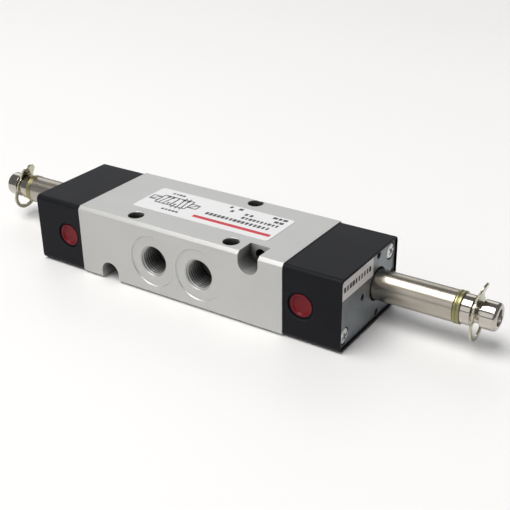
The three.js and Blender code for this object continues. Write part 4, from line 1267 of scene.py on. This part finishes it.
for side in END_TURNS:
    fit(
        f"{side}_fixed_core", at_end(core_mesh, side), nickel, "housing", [f"fixed_core_{side}"]
    )
    fit(
        f"{side}_shading_ring",
        at_end(shading_mesh, side),
        copper,
        "housing",
        [f"shading_ring_{side}"]
    )

# ------------------------------------------------------------------ armatures, springs and nozzle seats
# In each tube an iron plunger slides on its spring, with a rubber disc in its inner end that shuts off a
# small brass nozzle pressed into the cap.
plunger_low, plunger_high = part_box("armature_right")
PLUNGER_IN = (plunger_low.x - half_length) / mm
PLUNGER_OUT = (plunger_high.x - half_length) / mm
PLUNGER_R = 3.93
SPRING_POCKET_R = 1.9
SPRING_POCKET_FLOOR = PLUNGER_OUT - 8
PLUNGER_SPRING_R = 1.5
PLUNGER_SPRING_TURNS = 6

magnetic_iron = turned_metal(
    "magnetic_iron",
    (0.30, 0.30, 0.31),
    (0.42, 0.42, 0.43),
    0.24,
    0.42,
    0.12 * mm,
    0.004 * mm,
    (0.60, 0.60, 0.60)
)
brass = turned_metal(
    "brass", (0.58, 0.42, 0.16), (0.72, 0.56, 0.27), 0.20, 0.34, 0.1 * mm, 0.003 * mm, (0.86, 0.74, 0.46)
)

plunger_profile = [
    (11.35, 0),
    (11.35, 2.0),
    (PLUNGER_IN, 2.0),
    (PLUNGER_IN, PLUNGER_R),
    (PLUNGER_OUT, PLUNGER_R),
    (PLUNGER_OUT, SPRING_POCKET_R),
    (SPRING_POCKET_FLOOR, SPRING_POCKET_R),
    (SPRING_POCKET_FLOOR, 0),
]
plunger_mesh = lathe(plunger_profile, 0.2 * mm, "X", tube_at)
disc_mesh = lathe([(9.5, 0), (9.5, 1.95), (11.3, 1.95), (11.3, 0)], 0.12 * mm, "X", tube_at)
nozzle_corners = [(7.2, 0.45), (7.2, 2.2), (9.0, 2.2), (9.45, 0.9), (9.45, 0.45)]
nozzle_mesh = lathe(nozzle_corners, 0.08 * mm, "X", tube_at)
plunger_spring_mesh = spring_of(
    PLUNGER_SPRING_R * mm,
    SPRING_POCKET_FLOOR * mm + SPRING_END_GAP,
    CORE_FACE * mm - SPRING_END_GAP,
    PLUNGER_SPRING_TURNS - 1.2,
)
plunger_spring_mesh.transform(Matrix.Translation(tube_at))
for side, sign in (("right", 1), ("left", -1)):
    body = f"plunger_{side}"
    fit(
        f"{side}_armature",
        at_end(plunger_mesh, side),
        magnetic_iron,
        body,
        [f"armature_{side}"]
    )
    fit(f"{side}_armature_disc", at_end(disc_mesh, side), nitrile, body, [f"armature_disc_{side}"])
    fit(f"{side}_nozzle_seat", at_end(nozzle_mesh, side), brass, "housing", [f"nozzle_seat_{side}"])
    spring = fit(
        f"{side}_armature_spring",
        at_end(plunger_spring_mesh, side),
        spring_wire,
        "housing",
        [f"armature_spring_{side}"],
    )
    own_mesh(spring)

# ------------------------------------------------------------------ retaining clips
# A keyhole stamping in spring steel hangs in each core's neck, with a finger tab bent towards +X. Pushed
# up until its round hole reaches the knob, it slips off the core and frees the coil.
CLIP_THICKNESS = 0.6
CLIP_SLOT_R = 3.15
CLIP_HOLE_R = 4.15
CLIP_HOLE_DROP = 3.1
CLIP_RING_R = 5.35
CLIP_TOP_R = 4.6
CLIP_TAB_HALF = 2.9
CLIP_TAB_ROOT = 4.3
CLIP_TAB_LENGTH = 4.7
CLIP_TAB_BEND = math.radians(20)
CLIP_BEND_R = 1.0
CLIP_PLACES = {"right": (46.75, 0.0), "left": (-47.07, math.asin(1.42 / 8.15))}

clip_steel = worn_finish(
    "clip_steel",
    cloud_size=2.5 * mm,
    grain_size=0.1 * mm,
    edge_width=0.12 * mm,
    patch_size=1 * mm,
    colours=((0.42, 0.40, 0.27), (0.62, 0.60, 0.50)),
    worn_colour=(0.82, 0.81, 0.76),
    roughness=(0.16, 0.30),
    relief=0.003 * mm,
    metallic=1.0,
)


def arc(y, z, radius, start, end, steps):
    """Points on an arc in Y and Z, from one angle to another in degrees."""
    angles = [math.radians(start + (end - start) * k / steps) for k in range(steps + 1)]
    return [Vector((y + radius * math.cos(a), z + radius * math.sin(a))) for a in angles]


def keyhole_outline():
    """The clip's outer outline, flat: ring below, narrower legs, and the tab with its round end on top."""
    tip = CLIP_TAB_ROOT + CLIP_TAB_LENGTH - CLIP_TAB_HALF
    drop = CLIP_HOLE_DROP
    meet = (CLIP_RING_R**2 - CLIP_TOP_R**2 - drop**2) / (2 * drop)
    low = math.degrees(math.asin((meet + drop) / CLIP_RING_R))
    high = math.degrees(math.asin(meet / CLIP_TOP_R))
    shoulder = math.degrees(math.acos(CLIP_TAB_HALF / CLIP_TOP_R))
    right = arc(0, -drop, CLIP_RING_R, -90, low, 28)
    right += arc(0, 0, CLIP_TOP_R, high, shoulder, 14)[1:]
    steps = 8
    root = CLIP_TOP_R * math.sin(math.radians(shoulder))
    right += [Vector((CLIP_TAB_HALF, root + (tip - root) * k / steps)) for k in range(1, steps)]
    right += arc(0, tip, CLIP_TAB_HALF, 0, 90, 16)
    left = [Vector((-point.x, point.y)) for point in reversed(right[1:-1])]
    return [point * mm for point in right + left]


def bent(point):
    """A point of the flat clip with the tab's part of it turned over a rounded bend towards +X."""
    x, y, z = point
    reach = z / mm - CLIP_TAB_ROOT
    if reach <= 0:
        return Vector(point)
    arc_length = CLIP_BEND_R * CLIP_TAB_BEND
    angle = CLIP_TAB_BEND * min(1, reach / arc_length)
    beyond = max(0, reach - arc_length)
    middle_x = CLIP_BEND_R * (1 - math.cos(angle)) + beyond * math.sin(angle)
    middle_z = CLIP_TAB_ROOT + CLIP_BEND_R * math.sin(angle) + beyond * math.cos(angle)
    return Vector((middle_x * mm + x * math.cos(angle), y, middle_z * mm - x * math.sin(angle)))


half = CLIP_THICKNESS / 2 * mm
stamping = bar(keyhole_outline(), -half, half, 0.12 * mm, 0.12 * mm, 3)
cutters = [
    drill(CLIP_SLOT_R * mm, half, -1 * mm, "X", (0, 0, 0), 80, 0.06 * mm),
    drill(CLIP_HOLE_R * mm, half, -1 * mm, "X", (0, 0, -CLIP_HOLE_DROP * mm), 80, 0.06 * mm),
    bar(
        [Vector(p) * mm for p in rectangle(0, -CLIP_HOLE_DROP / 2, CLIP_SLOT_R, CLIP_HOLE_DROP / 2)],
        -1 * mm,
        1 * mm,
    ),
]
stamping = shaped(stamping, cutters)
work = bmesh.new()
work.from_mesh(stamping)
for k in range(0, 16):
    level = (CLIP_TAB_ROOT + 0.35 * k / 6) * mm if k < 7 else (CLIP_TAB_ROOT + 0.35 + 0.4 * (k - 6)) * mm
    geometry = work.verts[:] + work.edges[:] + work.faces[:]
    bmesh.ops.bisect_plane(work, geom=geometry, plane_co=(0, 0, level), plane_no=(0, 0, 1))
for vertex in work.verts:
    vertex.co = bent(vertex.co)
work.to_mesh(stamping)
work.free()
for side, (distance, tilt) in CLIP_PLACES.items():
    sign = 1 if side == "right" else -1
    clip = stamping.copy()
    centre = Matrix.Translation((sign * (half_length + abs(distance) * mm), TUBE_Y, mid))
    clip.transform(centre @ Matrix.Rotation(tilt, 4, "Y"))
    fit(f"{side}_retaining_clip", clip, clip_steel, f"clip_{side}", [f"retaining_clip_{side}"])

# ------------------------------------------------------------------ spool, pistons and inner seals
# The ground, nickel-plated spool slides through six seal rings in the body's bore. At each end a nylon
# piston with its own ring pushes it across, and a flat ring seals each cap to the body.
spool_low, spool_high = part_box("spool")
SPOOL_R = 4.5
SPOOL_NECK_R = 3.0
SPOOL_NECK_HALF = 4.25
SPOOL_NECKS = (2 - 8.25, 2 + 8.25)
SPOOL_EDGE = 0.3
SEAL_COUNT = 6
SPOOL_SEAL_R = 5.35
SPOOL_SEAL_WIRE_R = 0.8
PISTON_R = 6.9
PISTON_THICKNESS = 2.2
PISTON_GROOVE_R = 5.7
PISTON_FACES = {"right": 4.15, "left": 0.15}

spool_metal = turned_metal(
    "spool_metal",
    (0.56, 0.57, 0.58),
    (0.66, 0.67, 0.68),
    0.12,
    0.22,
    0.1 * mm,
    0.0015 * mm,
    (0.82, 0.82, 0.82)
)

start, end = spool_low.x / mm, spool_high.x / mm
spool_profile = [(start, 0), (start, SPOOL_R - SPOOL_EDGE), (start + SPOOL_EDGE, SPOOL_R)]
for middle in SPOOL_NECKS:
    inner, outer = middle - SPOOL_NECK_HALF, middle + SPOOL_NECK_HALF
    spool_profile += [(inner - SPOOL_EDGE, SPOOL_R), (inner, SPOOL_NECK_R)]
    spool_profile += [(outer, SPOOL_NECK_R), (outer + SPOOL_EDGE, SPOOL_R)]
spool_profile += [(end - SPOOL_EDGE, SPOOL_R), (end, SPOOL_R - SPOOL_EDGE), (end, 0)]
spool_mesh = lathe(spool_profile, 0.15 * mm, "X", (0, 0, mid), 80)
fit("valve_spool", spool_mesh, spool_metal, "spool_set", ["spool"])

# Alike seal rings in a row along the spool.
seal_tree, given, close = node_tree(
    "seal_row",
    {
        "Ring": ("Object", None),
        "Count": ("Int", 6),
        "Pitch": ("Float", 0.01),
        "Height": ("Float", 0.01),
        "Finish": ("Material", None),
    },
)
gaps = calculate(seal_tree, "SUBTRACT", given["Count"], 1.0)
first = calculate(seal_tree, "MULTIPLY", calculate(seal_tree, "MULTIPLY", gaps, given["Pitch"]), -0.5)
line = add(
    seal_tree,
    "GeometryNodeMeshLine",
    {
        "Count": given["Count"],
        "Start Location": add(seal_tree, "ShaderNodeCombineXYZ", {0: first, 2: given["Height"]}).outputs[0],
        "Offset": add(seal_tree, "ShaderNodeCombineXYZ", {0: given["Pitch"]}).outputs[0],
    },
    mode="OFFSET",
)
ring = add(seal_tree, "GeometryNodeObjectInfo", {"Object": given["Ring"]})
close(
    add(
        seal_tree, "GeometryNodeInstanceOnPoints", {
            "Points": line.outputs[0], "Instance": ring.outputs["Geometry"]
        }
    ).outputs[0]
)
model = bpy.data.objects.new("seal_ring", seal_ring(SPOOL_SEAL_R, SPOOL_SEAL_WIRE_R, 0))
bpy.context.scene.collection.objects.link(model)
values = {"Ring": model, "Count": SEAL_COUNT, "Pitch": PORT_PITCH / 2, "Height": mid, "Finish": nitrile}
seal_nodes = [f"spool_seal_{i + 1}" for i in range(SEAL_COUNT)]
fit("spool_seals", made_by(seal_tree, values), nitrile, "housing", seal_nodes)
bpy.data.objects.remove(model)

for side, face in PISTON_FACES.items():
    middle = face + PISTON_THICKNESS / 2
    profile = [(face, 0), (face, PISTON_R), (middle - 0.6, PISTON_R), (middle - 0.6, PISTON_GROOVE_R)]
    profile += [(middle + 0.6, PISTON_GROOVE_R), (middle + 0.6, PISTON_R)]
    profile += [(face + PISTON_THICKNESS, PISTON_R), (face + PISTON_THICKNESS, 0)]
    piston_mesh = at_end(lathe(profile, 0.15 * mm, sides=80), side)
    fit(f"{side}_piston", piston_mesh, black_nylon, "spool_set", [f"piston_{side}"])
    ring_mesh = at_end(seal_ring(6.3, 0.55, middle), side)
    fit(f"{side}_piston_seal", ring_mesh, nitrile, "spool_set", [f"piston_seal_{side}"])
    face_seal = at_end(lathe([(0, 7.45), (0, 8.45), (0.85, 8.45), (0.85, 7.45)], 0.2 * mm, sides=80), side)
    fit(f"{side}_cap_seal", face_seal, nitrile, "housing", [f"cap_seal_{side}"])

# ------------------------------------------------------------------ labels
# A white film label on the body carries a red stripe, a drawing of the valve's two positions and rows of
# small print, and a grey sticker on the right-hand plate one row. The print is plain bars, with no letters.
label_low, label_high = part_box("name_label")
sticker_low, sticker_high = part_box("end_sticker")
LABEL_CORNER = 1.2 * mm
STICKER_CORNER = 0.5 * mm
LABEL_FILM = 0.1 * mm
INK = 0.02 * mm

white_film, tree, shader, place = new_material("white_film", coat_weight=0.25)
pattern = group(tree, mottle, {"Vector": place, "Cloud Size": 7 * mm, "Grain Size": 0.1 * mm})
tree.links.new(
    colour_between(
        tree, pattern["Cloud"], (0.70, 0.70, 0.71), (0.78, 0.78, 0.78)
    ), shader.inputs["Base Color"]
)
tree.links.new(value_between(tree, pattern["Cloud"], 0.34, 0.46), shader.inputs["Roughness"])
bumped(tree, shader, pattern["Grain"], 0.002 * mm)

grey_film, tree, shader, place = new_material("grey_film", coat_weight=0.15)
pattern = group(tree, mottle, {"Vector": place, "Cloud Size": 4 * mm, "Grain Size": 0.1 * mm})
tree.links.new(
    colour_between(
        tree, pattern["Cloud"], (0.78, 0.735, 0.72), (0.86, 0.815, 0.80)
    ), shader.inputs["Base Color"]
)
tree.links.new(value_between(tree, pattern["Cloud"], 0.36, 0.50), shader.inputs["Roughness"])
bumped(tree, shader, pattern["Grain"], 0.002 * mm)

inks = {}
for name, low, high in (
    ("black_ink", (0.025, 0.025, 0.028), (0.06, 0.06, 0.065)),
    ("red_ink", (0.50, 0.018, 0.035), (0.62, 0.03, 0.05)),
):
    inks[name], tree, shader, place = new_material(name)
    pattern = group(tree, mottle, {"Vector": place, "Cloud Size": 1.2 * mm, "Grain Size": 0.06 * mm})
    tree.links.new(colour_between(tree, pattern["Grain"], low, high), shader.inputs["Base Color"])
    tree.links.new(value_between(tree, pattern["Cloud"], 0.40, 0.55), shader.inputs["Roughness"])
    bumped(tree, shader, pattern["Grain"], 0.002 * mm)

# Rows of print: bars of uneven length on a grid, with some left out.
print_tree, given, close = node_tree(
    "printed_rows",
    {
        "Columns": ("Int", 12),
        "Rows": ("Int", 2),
        "Column Pitch": ("Float", 0.001),
        "Row Pitch": ("Float", 0.002),
        "Bar Height": ("Float", 0.001),
        "Thickness": ("Float", 0.00002),
        "Left Out": ("Float", 0.15),
        "Seed": ("Int", 1),
        "Finish": ("Material", None),
    },
)
columns_less = calculate(print_tree, "SUBTRACT", given["Columns"], 1.0)
rows_less = calculate(print_tree, "SUBTRACT", given["Rows"], 1.0)
index = add(print_tree, "GeometryNodeInputIndex").outputs[0]
row = calculate(print_tree, "FLOOR", calculate(print_tree, "DIVIDE", index, given["Columns"]))
column = calculate(print_tree, "SUBTRACT", index, calculate(print_tree, "MULTIPLY", row, given["Columns"]))
count = calculate(print_tree, "MULTIPLY", given["Columns"], given["Rows"])
middle_column = calculate(print_tree, "MULTIPLY", columns_less, 0.5)
middle_row = calculate(print_tree, "MULTIPLY", rows_less, 0.5)
spot = add(
    print_tree,
    "ShaderNodeCombineXYZ",
    {
        0: calculate(
            print_tree, "MULTIPLY", calculate(
                print_tree, "SUBTRACT", column, middle_column
            ), given["Column Pitch"]
        ),
        1: calculate(
            print_tree, "MULTIPLY", calculate(print_tree, "SUBTRACT", row, middle_row), given["Row Pitch"]
        ),
    },
)
spots = add(print_tree, "GeometryNodePoints", {"Count": count, "Position": spot.outputs[0]})
chance = add(print_tree, "FunctionNodeRandomValue", {"Seed": given["Seed"]}, data_type="FLOAT").outputs[1]
kept = add(
    print_tree,
    "FunctionNodeCompare",
    {0: chance, 1: given["Left Out"]},
    data_type="FLOAT",
    operation="GREATER_THAN",
).outputs[0]
length_share = add(
    print_tree,
    "FunctionNodeRandomValue",
    {2: 0.45, 3: 0.88, "Seed": calculate(print_tree, "ADD", given["Seed"], 7.0)},
    data_type="FLOAT",
).outputs[1]
bar_size = add(
    print_tree,
    "ShaderNodeCombineXYZ",
    {
        0: calculate(print_tree, "MULTIPLY", length_share, given["Column Pitch"]),
        1: given["Bar Height"],
        2: given["Thickness"],
    },
)
unit = add(print_tree, "GeometryNodeMeshCube", {"Size": (1, 1, 1)})
placed = add(
    print_tree,
    "GeometryNodeInstanceOnPoints",
    {
        "Points": spots.outputs[0],
        "Selection": kept,
        "Instance": unit.outputs["Mesh"],
        "Scale": bar_size.outputs[0],
    },
)
close(placed.outputs[0])


def printed(columns, rows, length, row_pitch, bar_height, left_out, seed):
    """Rows of bars centred on the origin, from sizes in millimetres, as thick as the ink."""
    values = {
        "Columns": columns, "Rows": rows, "Column Pitch": length / columns * mm, "Row Pitch": row_pitch * mm
    }
    values.update({"Bar Height": bar_height * mm, "Thickness": INK, "Left Out": left_out, "Seed": seed})
    values["Finish"] = inks["black_ink"]
    return made_by(print_tree, values)


def stroke(start, end, width):
    """An inked line between two points in millimetres."""
    start, end = Vector(start) * mm, Vector(end) * mm
    side_step = (end - start).orthogonal().normalized() * width / 2 * mm
    corners = [start - side_step, end - side_step, end + side_step, start + side_step]
    vertices = [(p.x, p.y, z) for z in (-INK / 2, INK / 2) for p in corners]
    faces = [(0, 1, 2, 3), (4, 5, 6, 7), (0, 1, 5, 4), (1, 2, 6, 5), (2, 3, 7, 6), (3, 0, 4, 7)]
    return tidy_mesh("stroke", vertices, faces)


def closed_path(points):
    return list(zip(points, [*points[1:], points[0]]))


def film(low, high, corner):
    """A label's film drawn flat, with round corners, from its bottom at zero."""
    half = (high - low) / 2
    outline = eased(rectangle(0, 0, half.x, half.y), corner, 6)
    sheet = bar(outline, 0, LABEL_FILM, 0, 0.02 * mm, 2)
    sheet.transform(Matrix(((0, 1, 0, 0), (0, 0, 1, 0), (1, 0, 0, 0), (0, 0, 0, 1))))
    return sheet


def together(meshes):
    """The meshes as one."""
    work = bmesh.new()
    for mesh in meshes:
        work.from_mesh(mesh)
    result = bpy.data.meshes.new("together")
    work.to_mesh(result)
    work.free()
    return result


label_centre = (label_low + label_high) / 2
label_place = Matrix.Translation((label_centre.x, label_centre.y, label_low.z))
label_sheet = film(label_low, label_high, LABEL_CORNER)
label_sheet.transform(label_place)
fit("label_film", label_sheet, white_film, "housing", ["name_label"])

# The valve's symbol: two position boxes with their flow lines, a coil box at each end, and port stubs.
SYMBOL_AT = (-14.5, 0.6)
BOX = 5.6
COIL_BOX = 3.2
LINE = 0.42
strokes = []
for left in (-BOX, 0):
    corners = [(left, -BOX / 2), (left + BOX, -BOX / 2), (left + BOX, BOX / 2), (left, BOX / 2)]
    strokes += closed_path(corners)
for left in (-BOX - COIL_BOX, BOX):
    corners = [(left, -1.3), (left + COIL_BOX, -1.3), (left + COIL_BOX, 1.3), (left, 1.3)]
    strokes += closed_path(corners) + [((left + 0.5, -1.3), (left + COIL_BOX - 0.5, 1.3))]
for left, lean in ((-BOX, 1), (0, -1)):
    middle = left + BOX / 2
    for foot, top in ((-1.6 * lean, -0.8 * lean), (0, 0.8 * lean)):
        tip = Vector((middle + top, BOX / 2))
        way = (tip - Vector((middle + foot, -BOX / 2))).normalized()
        strokes.append(((middle + foot, -BOX / 2), (tip.x, tip.y)))
        for bend in (-0.45, 0.45):
            barb = tip - Matrix.Rotation(bend, 2) @ way * 1.1
            strokes.append(((tip.x, tip.y), (barb.x, barb.y)))
    blocked = middle + 1.6 * lean
    strokes += [((blocked, -BOX / 2), (blocked, -1.4)), ((blocked - 0.5, -1.4), (blocked + 0.5, -1.4))]
for x in (-1.6, 0, 1.6):
    strokes.append(((BOX / 2 + x, -BOX / 2 - 1.2), (BOX / 2 + x, -BOX / 2)))
for x in (-0.8, 0.8):
    strokes.append(((BOX / 2 + x, BOX / 2), (BOX / 2 + x, BOX / 2 + 1.2)))
symbol = together([stroke(start, end, LINE) for start, end in strokes])
symbol.transform(Matrix.Translation((SYMBOL_AT[0] * mm, SYMBOL_AT[1] * mm, 0)))
blocks = [symbol]
for columns, rows, length, pitch, tall, left_out, seed, x, y in (
    (17, 1, 24.0, 1, 1.6, 0.12, 3, 10.3, -1.1),
    (10, 1, 13.0, 1, 1.4, 0.1, 5, 15.8, 1.7),
    (13, 2, 22.4, 2.3, 1.3, 0.6, 8, 11.4, 5.2),
    (4, 1, 5.0, 1, 0.9, 0.0, 2, -16.5, 5.6),
    (5, 1, 6.5, 1, 0.9, 0.1, 4, -12.0, -5.2),
):
    block = printed(columns, rows, length, pitch, tall, left_out, seed)
    block.transform(Matrix.Translation((x * mm, y * mm, 0)))
    blocks.append(block)
ink_level = Matrix.Translation((label_centre.x, label_centre.y, label_low.z + LABEL_FILM + INK / 2))
black_print = together(blocks)
black_print.transform(ink_level)
print_piece = piece_of("label_print", black_print, inks["black_ink"])
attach(print_piece, "housing")
stripe_mesh = stroke((-3.7, -4.6), (23.3, -4.6), 1.5)
stripe_mesh.transform(ink_level)
stripe = piece_of("label_stripe", stripe_mesh, inks["red_ink"])
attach(stripe, "housing")

# The sticker's film and its row of print stand on the plate, facing +X.
upright = Matrix(((0, 0, 1, 0), (1, 0, 0, 0), (0, 1, 0, 0), (0, 0, 0, 1)))
sticker_centre = (sticker_low + sticker_high) / 2
flat_low = Vector((sticker_low.y, sticker_low.z, 0))
flat_high = Vector((sticker_high.y, sticker_high.z, 0))
sticker_place = Matrix.Translation((sticker_low.x, sticker_centre.y, sticker_centre.z))
sticker_sheet = film(flat_low, flat_high, STICKER_CORNER)
sticker_sheet.transform(sticker_place @ upright)
fit("sticker_film", sticker_sheet, grey_film, "housing", ["end_sticker"])
row_mesh = printed(10, 1, 15.8, 1, 1.5, 0.05, 6)
row_mesh.transform(Matrix.Translation((LABEL_FILM + INK / 2, 0, 0)) @ sticker_place @ upright)
row = piece_of("sticker_print", row_mesh, inks["black_ink"])
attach(row, "housing")
